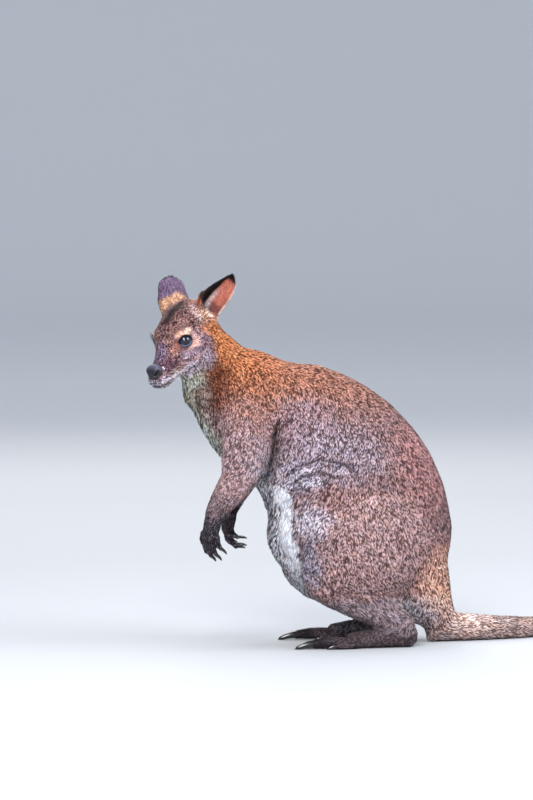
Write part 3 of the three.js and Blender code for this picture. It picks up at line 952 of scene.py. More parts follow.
@dataclass
class Skin:
    """One skin over the whole animal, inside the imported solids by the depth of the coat."""

    anatomy: Anatomy
    eyes: list[Eye]
    nose: "Nose"
    voxel: float = 2.0
    keep: float = 0.34  # share of the faces that stay
    grow: float = 0.45  # closes the clearances between the solids
    socket: float = 15.0  # radius of the filling round an eyeball
    floor_depth: float = 0.3
    shares: Array = field(default_factory=lambda: np.zeros(0))
    normals: Array = field(default_factory=lambda: np.zeros(0))
    points: Array = field(default_factory=lambda: np.zeros(0))
    mesh: bpy.types.Mesh | None = None

    FINE_MUZZLE = 38.0  # f beyond which the muzzle is modelled finely
    FINE_EYE = 24.0  # the same round an eye
    FINEST_EYE = 18.5

    def build(self) -> bpy.types.Object:
        """Builds the skin.

        Returns:
            The skin, without its finish.
        """
        union, regions = self.union()
        coarse = self.remeshed(union)
        labels = self.labels(coarse, union, regions)
        self.shape(coarse, labels)
        self.mesh = self.thinned(coarse)
        self.refine()
        self.detail()
        self.unwrap()
        return stand("skin", self.mesh)

    def union(self) -> tuple[bmesh.types.BMesh, list[int]]:
        """Joins the flesh solids, each grown a little so that they overlap.

        Returns:
            The joined mesh, and the region's number for each of its faces.
        """
        joined = bmesh.new()
        regions: list[int] = []
        for number, region in enumerate(REGIONS):
            for node in region.value:
                part = bmesh.new()
                part.from_mesh(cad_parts[node].data)
                bmesh.ops.remove_doubles(part, verts=part.verts, dist=1e-5)
                part.normal_update()
                for vert in part.verts:
                    vert.co += vert.normal * self.grow * MM
                regions += [number] * len(part.faces)
                scrap = mesh_from(part)
                joined.from_mesh(scrap)
                bpy.data.meshes.remove(scrap)
        for eye in self.eyes:
            place = Matrix.Translation(Vector(eye.axes.origin * MM))
            bmesh.ops.create_icosphere(joined, subdivisions=3, radius=self.socket * MM, matrix=place)
        regions += [HEADS] * (len(joined.faces) - len(regions))
        return joined, regions

    def remeshed(self, union: bmesh.types.BMesh) -> bpy.types.Mesh:
        """Gives the outer surface of the union as one even mesh.

        Args:
            union: the joined solids.

        Returns:
            The even mesh.
        """
        scrap = bpy.data.meshes.new("union")
        union.to_mesh(scrap)
        holder = bpy.data.objects.new("union", scrap)
        bpy.context.scene.collection.objects.link(holder)
        remesh = holder.modifiers.new("voxels", "REMESH")
        remesh.mode = "VOXEL"
        remesh.voxel_size = self.voxel * MM
        made = bpy.data.meshes.new_from_object(holder.evaluated_get(bpy.context.evaluated_depsgraph_get()))
        bpy.data.objects.remove(holder)
        return made

    def labels(self, mesh: bpy.types.Mesh, union: bmesh.types.BMesh, regions: list[int]) -> Array:
        """Gives each vertex the region of the solid that it lies nearest to, with soft borders.

        Args:
            mesh: the even mesh.
            union: the joined solids.
            regions: the region's number for each of their faces.

        Returns:
            One row a vertex, with the share of each region.
        """
        tree = BVHTree.FromBMesh(union)
        union.free()
        nearest = [tree.find_nearest(vert.co)[2] for vert in mesh.vertices]
        hard = np.eye(len(REGIONS), dtype=np.float32)[np.array(regions)[nearest]]
        return Graph.of(mesh).smooth(hard, 24)

    def shape(self, mesh: bpy.types.Mesh, labels: Array) -> None:
        """Rounds the solids into flesh and draws the skin in by the coat's depth.

        Args:
            mesh: the even mesh, which is changed.
            labels: the share of each region at each vertex.
        """
        graph = Graph.of(mesh)
        most = max(p.rounding for p in PELAGES.values())
        rounds = int(3.2 * (most / self.voxel) ** 2)
        pulls = labels @ np.array([0.62 * (PELAGES[r].rounding / most) ** 2 for r in REGIONS])
        points = graph.smooth(points_of(mesh), rounds, pulls[:, None])
        move_points(mesh, points)
        ways = unit(graph.smooth(normals_of(mesh), 8))
        depth = labels @ np.array([PELAGES[r].depth for r in REGIONS])
        floor = smoothstep(18, 8, points[:, 2]) * smoothstep(-0.3, -0.8, ways[:, 2])
        depth = depth * (1 - floor) + self.floor_depth * floor
        depth += self.relief(points, coarse=True)
        points = self.reshaped_ears(points, labels)
        move_points(mesh, graph.smooth(points - ways * depth[:, None], 2, 0.4))
        self.shares = labels

    def reshaped_ears(self, points: Array, labels: Array) -> Array:
        """Straightens the front edge of the left ear towards its tip, and rounds the tip of the right one.

        Args:
            points: the even mesh's vertices.
            labels: the share of each region.

        Returns:
            The moved vertices.
        """
        amount = labels[:, EARS]
        nearest = self.anatomy.nearest_ear(points)
        for number, ear in enumerate(self.anatomy.ears):
            local = ear.axes.local(points)
            share = local[:, 0] / ear.length
            front = local[:, 1] * ear.front > 0
            if ear.front > 0:
                change = -0.42 * smoothstep(0.3, 0.95, share) * front
            else:
                change = 0.13 * smoothstep(0.1, 0.35, share) + 0.36 * smoothstep(0.6, 0.95, share)
            local[:, 1] *= 1 + change * amount
            points = np.where((nearest == number)[:, None], ear.axes.world(local), points)
        return points

    def relief(self, points: Array, coarse: bool) -> Array:
        """Adds up how far the creases and the hollows draw the skin in.

        Args:
            points: in the row frame.
            coarse: the wide ones, or else the narrow ones that need the fine mesh.

        Returns:
            The depths, in millimetres.
        """
        places = {space: self.anatomy.place(points, space) for space in Space}
        total = np.zeros(len(points))
        for crease in CREASES:
            if coarse == (crease.half_width > 3):
                total += crease.depth * crease.cover(places)
        if coarse:
            for swell in SWELLS:
                reach = ((places[swell.space] - swell.at) / swell.size) ** 2
                total -= swell.height * np.exp(-reach.sum(1))
        return total

    def thinned(self, mesh: bpy.types.Mesh) -> bpy.types.Mesh:
        """Drops faces from the broad parts and keeps them on the head, the ears and the paws.

        Args:
            mesh: the even mesh.

        Returns:
            The lighter mesh, with the regions' shares carried over.
        """
        holder = bpy.data.objects.new("thin", mesh)
        bpy.context.scene.collection.objects.link(holder)
        fine = [REGIONS.index(r) for r in (Region.HEAD, Region.EAR, Region.PAW, Region.FOOT)]
        detailed = self.shares[:, fine].sum(1) > 0.3
        group = holder.vertex_groups.new(name="broad")
        group.add(np.flatnonzero(~detailed).tolist(), 1.0, "REPLACE")
        group.add(np.flatnonzero(detailed).tolist(), 0.02, "REPLACE")
        thin = holder.modifiers.new("thin", "DECIMATE")
        thin.ratio = self.keep
        thin.use_collapse_triangulate = True
        thin.vertex_group = group.name
        thin.vertex_group_factor = 1.0
        made = bpy.data.meshes.new_from_object(holder.evaluated_get(bpy.context.evaluated_depsgraph_get()))
        self.carry(points_of(mesh), points_of(made))
        bpy.data.objects.remove(holder)
        bpy.data.meshes.remove(mesh)
        return made

    def carry(self, old: Array, new: Array) -> None:
        """Carries the regions' shares from old points to the nearest new ones.

        Args:
            old: the points that have the shares.
            new: the points that need them.
        """
        tree = KDTree(len(old))
        for i, point in enumerate(old):
            tree.insert(point, i)
        tree.balance()
        self.shares = self.shares[[tree.find(point)[1] for point in new]]

    def refine(self) -> None:
        """Makes the mesh finer on the muzzle and round the eyes, and smooths it there."""
        before = points_of(self.mesh)
        for fineness in (1, 2):
            points = points_of(self.mesh)
            fine = self.zone(points, fineness)
            edges = read(self.mesh, "edges", "vertices", 2, np.int32)
            bm = bmesh.new()
            bm.from_mesh(self.mesh)
            bm.edges.ensure_lookup_table()
            picked = [bm.edges[i] for i in np.flatnonzero(fine[edges].all(1))]
            bmesh.ops.subdivide_edges(bm, edges=picked, cuts=1, use_grid_fill=True)
            bmesh.ops.triangulate(bm, faces=[f for f in bm.faces if len(f.verts) > 3])
            self.mesh = mesh_from(bm)
            points = points_of(self.mesh)
            pull = np.where(self.zone(points, fineness), 0.5, 0.0)[:, None]
            move_points(self.mesh, Graph.of(self.mesh).smooth(points, 4, pull))
        self.carry(before, points_of(self.mesh))

    def zone(self, points: Array, fineness: int) -> Array:
        """Tells which points need a mesh of this fineness.

        Args:
            points: in the row frame.
            fineness: 1 for fine, 2 for finest.

        Returns:
            True where they do.
        """
        gaps = np.minimum(*(np.linalg.norm(points - eye.axes.origin, axis=1) for eye in self.eyes))
        if fineness == 2:
            return gaps < self.FINEST_EYE
        head = self.anatomy.head.local(points)
        muzzle = (head[:, 0] > self.FINE_MUZZLE) & (head[:, 0] < 90) & (np.abs(head[:, 2]) < 40)
        return (gaps < self.FINE_EYE) | (muzzle & (head[:, 1] > -62))

    def detail(self) -> None:
        """Cuts the mouth, and wraps the lids over the eyeballs."""
        graph = Graph.of(self.mesh)
        points = points_of(self.mesh)
        ways = unit(graph.smooth(normals_of(self.mesh), 3))
        points = points - ways * self.relief(points, coarse=False)[:, None]
        for eye in self.eyes:
            points = self.lids(points, eye)
        points = self.nose.tucked(points)
        move_points(self.mesh, points)
        self.points = points
        self.normals = unit(graph.smooth(normals_of(self.mesh), 3))

    def lids(self, points: Array, eye: Eye) -> Array:
        """Draws the skin over an eyeball, and in under it within the lids' opening.

        Args:
            points: the skin's vertices.
            eye: the eye.

        Returns:
            The moved vertices.
        """
        gauge, reach = eye.gauge(points)
        close = reach < eye.radius * 2
        snap = close & (np.abs(gauge - 1) < 0.035)
        local = eye.axes.local(points)
        middle = np.array([0, 0, 1.0])
        way = unit(local)
        side = flattened(way, np.broadcast_to(middle, way.shape))
        tilt = np.arccos(np.clip(way[:, 2], -1, 1))
        tilt = np.where(snap, tilt / np.maximum(gauge, 0.1), tilt)
        way = side * np.sin(tilt)[:, None] + middle * np.cos(tilt)[:, None]
        lid = eye.radius + eye.lid * smoothstep(0.98, 1.18, gauge) + eye.LID_GAP
        lid = lid - 6 * smoothstep(math.radians(82), math.radians(120), tilt)
        over = np.logaddexp(reach / eye.SOFTNESS, lid / eye.SOFTNESS) * eye.SOFTNESS
        over = np.where(reach > lid + 6, reach, np.minimum(over, np.maximum(reach, lid) + 0.5))
        under = eye.radius - eye.TUCK * (1 - 0.6 * smoothstep(0.86, 0.965, gauge))
        moved = np.where(gauge < 0.965, under, over)
        moved = np.where(snap, eye.radius + 0.2, moved)
        return np.where(close[:, None], eye.axes.world(way * moved[:, None]), points)

    def unwrap(self) -> None:
        """Unwraps the skin's own shape into the UV map that the coat shares."""
        self.mesh.uv_layers.new(name=UNWRAP)
        holder = bpy.data.objects.new("unwrap", self.mesh)
        bpy.context.scene.collection.objects.link(holder)
        bpy.context.view_layer.objects.active = holder
        holder.select_set(True)
        bpy.ops.object.mode_set(mode="EDIT")
        bpy.ops.mesh.select_all(action="SELECT")
        bpy.ops.uv.smart_project(angle_limit=1.15, island_margin=0.002)
        bpy.ops.object.mode_set(mode="OBJECT")
        bpy.data.objects.remove(holder)


# ---------------------------------------------------------------------------- the coat's colours


@dataclass(frozen=True)
class Nose:
    """The place and the size of the bare nose, in millimetres."""

    axes: Axes  # down the pad, out of it, and to the left
    half_length: float = 13.9
    thickness: float = 9.6
    half_width: float = 15.2

    PLACE = (70.6, -10.2, 0.0)  # in the head's axes
    DOWN = (0.74, -0.67, 0.0)
    TUCK = 1.4  # how far the skin lies under the pad near its edge
    TUCK_MIDDLE = 6.0
    VALLEY = 11.0

    @classmethod
    def find(cls, anatomy: Anatomy) -> "Nose":
        """Places the nose on the head.

        Args:
            anatomy: the head's axes.

        Returns:
            The nose's place.
        """
        down = np.array(cls.DOWN) @ anatomy.head.rows
        left = anatomy.head.rows[2]
        rows = np.array([down, np.cross(down, left), left])
        return cls(Axes(anatomy.head.world(np.array(cls.PLACE)), rows))

    def reach(self, points: Array) -> Array:
        """Measures points against the pad: 1 on its surface."""
        size = (self.half_length, self.thickness, self.half_width)
        return np.linalg.norm(self.axes.local(points) / size, axis=1)

    def tucked(self, points: Array) -> Array:
        """Draws the skin in under the pad, with a shallow valley round its edge.

        Args:
            points: the skin's vertices.

        Returns:
            The moved vertices.
        """
        local = self.axes.local(points)
        outline = np.hypot(local[:, 0] / self.half_length, local[:, 2] / self.half_width)
        tuck = self.TUCK + (self.TUCK_MIDDLE - self.TUCK) * smoothstep(1.0, 0.84, outline)
        under = self.thickness * np.sqrt(np.maximum(1 - outline**2, 0)) - tuck
        limit = under + self.VALLEY * smoothstep(0.93, 1.3, outline)
        near = (outline < 1.3) & (local[:, 1] > -self.thickness)
        local[:, 1] = np.where(near, np.minimum(local[:, 1], limit), local[:, 1])
        return self.axes.world(local)


@dataclass(frozen=True)
class Markings:
    """The markings of skin and coat, as one function of the place."""

    anatomy: Anatomy
    eyes: list[Eye]
    nose: Nose

    MOTTLE = 0.09
    MOTTLE_HUE = 0.05
    MOTTLE_SIZE = 16.0
    RIM = "#140f14"
    # the lower lids' wet rims are painted blue-grey: a painted reflection
    RIM_WET_REFLECTION = "#7e86a2"
    EAR_BACK_FOOT = "#b08566"
    EAR_TUFT = "#a05a36"
    EAR_EDGE = "#120b09"
    EAR_INSIDE = "#d07a67"
    EAR_DEEP = "#7d4840"
    EAR_FRINGE = "#f1ddd6"

    def colours(self, points: Array, normals: Array, shares: Array) -> Array:
        """Gives the colour of the coat at each point.

        Args:
            points: in the row frame.
            normals: out of the skin.
            shares: the share of each region.

        Returns:
            Linear colours.
        """
        made = shares @ np.array([linear(PELAGES[r].colour) for r in REGIONS])
        places = {space: self.anatomy.place(points, space) for space in Space}
        spread = {**places, Space.BODY: places[Space.BODY] + ripple(points, WANDER_SIZE, 5) * WANDER}
        ears = shares[:, EARS]
        for mark in MARKINGS:
            cover = mark.cover(spread[mark.space]) * (1 - ears)
            if mark.space is Space.BODY:
                cover = cover * (1 - shares[:, HEADS])
            made += cover[:, None] * (linear(mark.colour) - made)
        head = shares[:, [HEADS]]
        broad, fine = (ripple(points, size, 9) for size in (self.MOTTLE_SIZE, self.MOTTLE_SIZE / 2.4))
        made *= 1 + self.MOTTLE * ((1 - head) * broad[:, :1] + 1.8 * head * fine[:, :1])
        made *= 1 + self.MOTTLE_HUE * broad[:, 1:2] * [1.0, 0.0, -1.0]
        made += ears[:, None] * (self.ear_colours(points, normals) - made)
        for crease in CREASES:
            made *= 1 - crease.shade * crease.cover(places)[:, None]
        for eye in self.eyes:
            gauge, reach = eye.gauge(points)
            close = reach < eye.radius * 1.6
            rim = smoothstep(1.20, 1.10, gauge) * close
            made += rim[:, None] * (linear(self.RIM) - made)
            # painted blue-grey reflection along the wet rim of the lower lid
            low = smoothstep(-0.1, -0.4, eye.axes.local(points)[:, 1] / reach)
            wet = smoothstep(1.10, 1.04, gauge) * close * low
            made += wet[:, None] * (linear(self.RIM_WET_REFLECTION) - made)
        return made

    def ear_colours(self, points: Array, normals: Array) -> Array:
        """Gives the colour of the ears at each point.

        Args:
            points: in the row frame.
            normals: out of the skin.

        Returns:
            Linear colours.
        """
        sides = np.stack([self.ear_side(ear, points, normals) for ear in self.anatomy.ears])
        return sides[self.anatomy.nearest_ear(points), np.arange(len(points))]

    def ear_side(self, ear: Ear, points: Array, normals: Array) -> Array:
        """Gives the colour of one ear at each point.

        Args:
            ear: the ear.
            points: in the row frame.
            normals: out of the skin.

        Returns:
            Linear colours.
        """
        share, angle, _, out = ear.chart(points)
        back = np.broadcast_to(linear(PELAGES[Region.EAR].colour), points.shape).copy()
        foot = smoothstep(0.52, 0.36, share + 0.1 * np.abs(angle))[:, None]
        back += foot * (linear(self.EAR_BACK_FOOT) - back)
        inside = np.broadcast_to(linear(self.EAR_INSIDE), points.shape).copy()
        low = smoothstep(0.6, 0.3, share)
        deep = np.maximum(smoothstep(0.26, 0.1, share), smoothstep(-0.5, -0.85, angle) * low * 0.6)
        inside += deep[:, None] * (linear(self.EAR_DEEP) - inside)
        pale = smoothstep(-0.3, -0.1, angle) * smoothstep(0.14, 0.0, angle) * low
        inside += pale[:, None] * (linear(self.EAR_FRINGE) - inside) * 0.7
        front = smoothstep(0.0, 0.14, angle) * smoothstep(0.02, 0.10, share)
        inside += front[:, None] * (linear(self.EAR_EDGE) - inside)
        if ear.front > 0:
            front = smoothstep(0.3, 0.55, angle)[:, None]
            back += front * smoothstep(0.4, 0.3, share)[:, None] * (linear(self.EAR_EDGE) - back) * 0.9
            back += front * smoothstep(0.17, 0.1, share)[:, None] * (linear(self.EAR_TUFT) - back)
        facing_in = smoothstep(0.15, -0.15, (normals * out).sum(1))[:, None]
        made = back + facing_in * (inside - back)
        front = smoothstep(0.8, 0.95, angle) * smoothstep(0.04, 0.12, share)
        edge = np.maximum(smoothstep(0.74, 0.86, share), front)[:, None]
        edge = edge * np.maximum(facing_in, 0.35 * smoothstep(0.9, 1.0, np.abs(angle))[:, None])
        made += edge * (linear(self.EAR_EDGE) - made)
        rear = smoothstep(-0.86, -0.97, angle) * smoothstep(0.9, 0.7, share)
        return made + rear[:, None] * (linear(self.EAR_FRINGE) - made) * 0.45


# ---------------------------------------------------------------------------- the coat


# How strongly the coat of each region is speckled with pale and dark tips.
SPECKLE: dict[Region, float] = {
    Region.HEAD: 1.35,
    Region.EAR: 0.6,
    Region.NECK: 0.9,
    Region.TRUNK: 1.0,
    Region.TAIL: 0.8,
    Region.HAUNCH: 1.0,
    Region.SHIN: 0.8,
    Region.FOOT: 0.8,
    Region.UPPER_ARM: 0.9,
    Region.FOREARM: 0.8,
    Region.PAW: 1.8,
}


@dataclass
class Coat:
    """The fur: closed tufts of four faces, dealt out at random into a few pieces of equal size."""

    skin: Skin
    markings: Markings
    seed: int = 7
    layers: int = 8
    most: int = 46_800  # tufts in a piece, of four faces each
    floor: float = 0.4
    patch: float = 0.0015  # half of a tuft's width on the unwrap

    TURN_WAVY = math.radians(13)
    TURN_LOOSE = math.radians(9)
    WAVELENGTH = 26.0
    CLUMP = 2.0  # size of the clumps of hair that share a tone
    CLUMP_HEAD = 1.7
    CLUMP_TIGHT = 0.75
    CLUMP_LOOSE = 0.5
    PALE_ABOVE = 0.05
    PALE_CALM = 0.55  # how much less the palest fur is speckled
    PALE_CALM_HEAD = 0.5
    # The first factor of EVEN, PALE_BANDS and DARK_BANDS darkens a tuft's root: painted shade from the hairs
    # above it.
    EVEN = np.array([0.35, 0.85, 0.85, 1.1])[:, None]  # from the root to the tip, times the colour
    PALE_BANDS = np.array([0.25, 0.85, 0.85, 1.6])[:, None]
    PALE_ADDED = np.array([0.0, 0.0, 0.0, 1.0])[:, None] * [0.115, 0.1, 0.095]
    DARK_BANDS = np.array([0.14, 0.44, 0.44, 0.26])[:, None]
    DARK_HUE = np.array([1.0, 0.86, 0.84])

    def build(self, material: bpy.types.Material) -> list[bpy.types.Object]:
        """Grows the coat.

        Args:
            material: its finish.

        Returns:
            The coat's pieces.
        """
        self.draw = np.random.default_rng(self.seed)
        self.root()
        self.comb()
        self.colour()
        corners, normals, colours = self.tufts()
        order = self.draw.permutation(len(corners))[: self.most * self.layers]
        made = []
        for number, picked in enumerate(np.array_split(order, self.layers)):
            picked = np.sort(picked)
            mesh = self.layer(corners[picked], normals[picked], colours[picked], self.uvs[picked])
            made.append(belong(stand(f"coat_{number + 1}", mesh, material), "coat"))
        LOG.info("coat: %d tufts, %d grown", len(order), len(corners))
        return made

    def root(self) -> None:
        """Scatters the roots over the skin, as densely as each place needs."""
        mesh = self.skin.mesh
        faces = read(mesh, "polygons", "vertices", 3, np.int32)
        corners = self.skin.points[faces]
        a, b, c = corners.transpose(1, 0, 2)
        area = np.linalg.norm(np.cross(b - a, c - a), axis=1) / 2
        density = self.density()[faces].mean(1)
        counts = np.floor(area * density + self.draw.random(len(faces))).astype(int)
        picked = np.repeat(np.arange(len(faces)), counts)
        a, b = self.draw.random((2, len(picked)))
        fold = a + b > 1
        weights = np.column_stack([np.where(fold, 1 - a, a), np.where(fold, 1 - b, b)])
        weights = np.column_stack([1 - weights.sum(1), weights])[..., None]
        self.roots = (corners[picked] * weights).sum(1)
        self.normals = unit((self.skin.normals[faces[picked]] * weights).sum(1))
        self.shares = (self.skin.shares[faces[picked]] * weights).sum(1)
        unwrapped = np.empty(len(mesh.loops) * 2, np.float32)
        mesh.uv_layers[UNWRAP].data.foreach_get("uv", unwrapped)
        self.uvs = (unwrapped.reshape(-1, 3, 2)[picked] * weights).sum(1)

    def density(self) -> Array:
        """Gives how many tufts grow on each square millimetre at each of the skin's vertices.

        Returns:
            One number a vertex.
        """
        points, shares = self.skin.points, self.skin.shares
        made = shares @ np.array([PELAGES[r].density for r in REGIONS])
        made = made * self.growth(points)[2]
        sole = smoothstep(6, 3, points[:, 2]) * smoothstep(-0.5, -0.8, self.skin.normals[:, 2])
        bare = np.maximum(sole * 0.85, smoothstep(1.16, 1.04, self.markings.nose.reach(points)))
        for eye in self.markings.eyes:
            gauge, reach = eye.gauge(points)
            bare = np.maximum(bare, smoothstep(1.22, 1.12, gauge) * (reach < eye.radius * 1.6))
        inside = self.in_ear(points, self.skin.normals) * shares[:, EARS]
        return made * (1 - bare) * (1 - 0.55 * inside)

    def in_ear(self, points: Array, normals: Array) -> Array:
        """Tells how far each point lies on the inside of an ear's cup, from 0 to 1.

        Args:
            points: in the row frame.
            normals: out of the skin.

        Returns:
            One share a point.
        """
        facing = []
        for ear in self.markings.anatomy.ears:
            _, _, _, out = ear.chart(points)
            facing.append(smoothstep(0.1, -0.2, (normals * out).sum(1)))
        return np.array(facing)[self.markings.anatomy.nearest_ear(points), np.arange(len(points))]

    def growth(self, points: Array) -> tuple[Array, Array, Array]:
        """Gives how much longer, steeper and denser the coat is at each point than its region's.

        Args:
            points: in the row frame.

        Returns:
            Three factors a point.
        """
        places = {space: self.markings.anatomy.place(points, space) for space in Space}
        length, rise, density = np.ones((3, len(points)))
        for growth in GROWTHS:
            reach = np.linalg.norm((places[growth.space] - growth.at) / growth.size, axis=1)
            cover = smoothstep(1.35, 0.65, reach)
            length *= 1 + (growth.length - 1) * cover
            rise *= 1 + (growth.rise - 1) * cover
            density *= 1 + (growth.density - 1) * cover
        return length, rise, density

    def comb(self) -> None:
        """Finds the way that each tuft lies."""
        anatomy = self.markings.anatomy
        share = {region: self.shares[:, [REGIONS.index(region)]] for region in REGIONS}
        head = share[Region.HEAD]
        ways = self.guided(Space.BODY) * (1 - head) + self.guided(Space.HEAD) * head
        along = np.array([ear.axes.rows[0] for ear in anatomy.ears])[anatomy.nearest_ear(self.roots)]
        ways += share[Region.EAR] * (along - ways)
        line = tail_line()
        _, place = to_line(self.roots, line)
        steps = np.diff(line, axis=0)
        tail = unit(steps[np.minimum((place * len(steps)).astype(int), len(steps) - 1)]) - [0, 0, 0.15]
        ways += share[Region.TAIL] * (tail - ways)
        ways = flattened(ways, self.normals)
        turn = self.TURN_WAVY * ripple(self.roots, self.WAVELENGTH, 21)[:, 0]
        turn = turn + self.TURN_LOOSE * self.draw.normal(size=len(turn))
        self.ways = turned(ways, self.normals, turn)

    def guided(self, space: Space) -> Array:
        """Blends the known lies of a space at each root.

        Args:
            space: whose lies count.

        Returns:
            Directions in the row frame.
        """
        places = self.markings.anatomy.place(self.roots, space)
        known = [lie for lie in LIES if lie.space is space]
        total = np.zeros(places.shape)
        for lie in known:
            gap = ((places - lie.at) ** 2).sum(1)
            total += unit(np.array(lie.way))[None] / (gap + 60)[:, None] ** 2
        return self.markings.anatomy.unfold(unit(total), self.roots, space)

    def colour(self) -> None:
        """Finds the colour of each tuft, and which ones are pale at the tip: they lie in small clumps."""
        base = self.markings.colours(self.roots, self.normals, self.shares)
        contrast = self.shares @ np.array([SPECKLE[r] for r in REGIONS])
        light = base @ [0.3, 0.59, 0.11]
        calm = self.PALE_CALM * smoothstep(0.45, 0.75, light)
        calm = np.maximum(calm, self.PALE_CALM_HEAD * smoothstep(0.25, 0.5, light) * self.shares[:, HEADS])
        for eye in self.markings.eyes:
            gauge, reach = eye.gauge(self.roots)
            calm = np.maximum(calm, 0.6 * smoothstep(2.4, 1.5, gauge) * (reach < eye.radius * 2))
        inside = self.in_ear(self.roots, self.normals) * self.shares[:, EARS]
        self.contrast = contrast * (1 - calm) * (1 - 0.8 * inside)
        small = self.shares[:, HEADS] + self.shares[:, EARS]
        body, head = (cells(self.roots, size, 31) for size in (self.CLUMP, self.CLUMP_HEAD))
        clump = self.CLUMP_TIGHT * np.where(small > 0.5, head, body)
        clump = clump + self.CLUMP_LOOSE * self.draw.normal(size=len(base))
        self.pale = clump > self.PALE_ABOVE
        self.colours = base * np.exp(TONE * self.contrast * np.clip(clump, -STEEPEST, STEEPEST))[:, None]

    def tufts(self) -> tuple[Array, Array, Array]:
        """Gives every tuft's corners (root, left, right and tip), normals and colours.

        Returns:
            Three arrays, each with four rows a tuft.
        """
        count = len(self.roots)
        columns = ("length", "width", "rise")
        table = np.array([[getattr(PELAGES[r], c) for c in columns] for r in REGIONS])
        length, width, rise = (self.shares @ table).T
        longer, steeper, _ = self.growth(self.roots)
        length = length * longer * self.draw.uniform(0.72, 1.25, count)
        width = width * self.draw.uniform(0.75, 1.3, count) * np.sqrt(longer)
        rise = np.radians(rise * steeper * self.draw.uniform(0.55, 1.35, count))
        ways, normals = self.ways, self.normals
        side = np.cross(normals, ways)
        sink = -0.35 * width
        middle = 0.45 * length
        high = middle * np.sin(rise) + sink
        top = length * np.sin(rise * 0.62) + sink
        out = np.column_stack([middle * np.cos(rise), length * np.cos(rise * 0.62)])
        root = self.roots + normals * sink[:, None]
        across = self.roots + ways * out[:, [0]] + normals * high[:, None]
        tip = self.roots + ways * out[:, [1]] + normals * top[:, None]
        spread = side * (width / 2)[:, None]
        corners = np.stack([root, across + spread, across - spread, tip], axis=1)
        corners[..., 2] = np.maximum(corners[..., 2], self.floor + 0.3 * self.draw.random((count, 1)))
        lean = [normals - 0.15 * ways, normals + 0.55 * side, normals - 0.55 * side, normals + 0.35 * ways]
        shading = unit(np.stack(lean, axis=1))
        return corners, shading, self.banded()

    def banded(self) -> Array:
        """Gives each tuft its bands: a root darkened with painted shade, and either a pale or a dark tip.

        Returns:
            Linear colours, one a corner.
        """
        base = self.colours[:, None, :]
        even = base * self.EVEN
        silver = self.PALE_ADDED * smoothstep(0.02, 0.2, base.mean(2, keepdims=True))
        light = base * self.PALE_BANDS + silver
        dark = base * self.DARK_BANDS * self.DARK_HUE
        bands = np.where(self.pale[:, None, None], light, dark)
        return np.clip(even + (bands - even) * self.contrast[:, None, None], 0.003, 0.93)

    def layer(self, corners: Array, normals: Array, colours: Array, uvs: Array) -> bpy.types.Mesh:
        """Makes one piece of the coat from its tufts.

        Args:
            corners: four points a tuft.
            normals: their normals.
            colours: their colours.
            uvs: the root's place on the unwrap.

        Returns:
            The mesh.
        """
        faces = np.array([[0, 2, 1], [3, 1, 2], [0, 1, 3], [0, 3, 2]])
        spots = np.array([[0, -1], [-1, 0], [1, 0], [0, 1]]) * self.patch
        count = len(corners)
        loops = (np.arange(count)[:, None, None] * 4 + faces).astype(np.int32).ravel()
        mesh = bpy.data.meshes.new("layer")
        mesh.vertices.add(count * 4)
        mesh.loops.add(len(loops))
        mesh.polygons.add(count * 4)
        mesh.vertices.foreach_set("co", (corners * MM).astype(np.float32).ravel())
        mesh.loops.foreach_set("vertex_index", loops)
        mesh.polygons.foreach_set("loop_start", np.arange(0, len(loops), 3, dtype=np.int32))
        mesh.update(calc_edges=True)
        paint(mesh, colours.reshape(-1, 3))
        places = np.clip(uvs[:, None, None, :] + spots[faces], 0.0005, 0.9995)
        mesh.uv_layers.new(name=UNWRAP).data.foreach_set("uv", places.astype(np.float32).ravel())
        mesh.shade_smooth()
        mesh.normals_split_custom_set_from_vertices(normals.reshape(-1, 3).tolist())
        return mesh


# ---------------------------------------------------------------------------- eyes, nose, claws, bristles


def add_tube(bm: bmesh.types.BMesh, line: Array, radii: Array, sides: int) -> None:
    """Adds a closed round tube along a line, which may taper to a point.

    Args:
        bm: where it goes.
        line: its middle line, in millimetres.
        radii: its radius at each point of the line.
        sides: how many sides it has.
    """
    ways = unit(np.gradient(line, axis=0))
    side = unit(np.cross(ways, [0.31, 0.17, 0.94]))
    over = np.cross(side, ways)
    grid = bmesh.ops.create_grid(bm, x_segments=len(line) - 1, y_segments=sides, size=1.0)["verts"]
    for vert in grid:
        ring = round((vert.co.x + 1) / 2 * (len(line) - 1))
        angle = (vert.co.y + 1) * math.pi
        out = side[ring] * math.cos(angle) + over[ring] * math.sin(angle)
        vert.co = Vector((line[ring] + radii[ring] * out) * MM)
    bmesh.ops.remove_doubles(bm, verts=grid, dist=1e-6)


def finish_tubes(bm: bmesh.types.BMesh) -> bpy.types.Mesh:
    """Closes the open ends of tubes, turns their faces outwards and gives their mesh.

    Args:
        bm: the tubes, which are freed.

    Returns:
        The mesh.
    """
    bmesh.ops.holes_fill(bm, edges=[e for e in bm.edges if e.is_boundary], sides=0)
    bmesh.ops.recalc_face_normals(bm, faces=bm.faces)
    return mesh_from(bm)


def bow(start: Array, middle: Array, end: Array, steps: int) -> Array:
    """Gives points on the smooth curve through three places.

    Args:
        start: the first place.
        middle: the place it passes halfway.
        end: the last place.
        steps: how many points.

    Returns:
        The points.
    """
    t = np.linspace(0, 1, steps)[:, None]
    control = 2 * middle - (start + end) / 2
    return start * (1 - t) ** 2 + 2 * control * t * (1 - t) + end * t * t


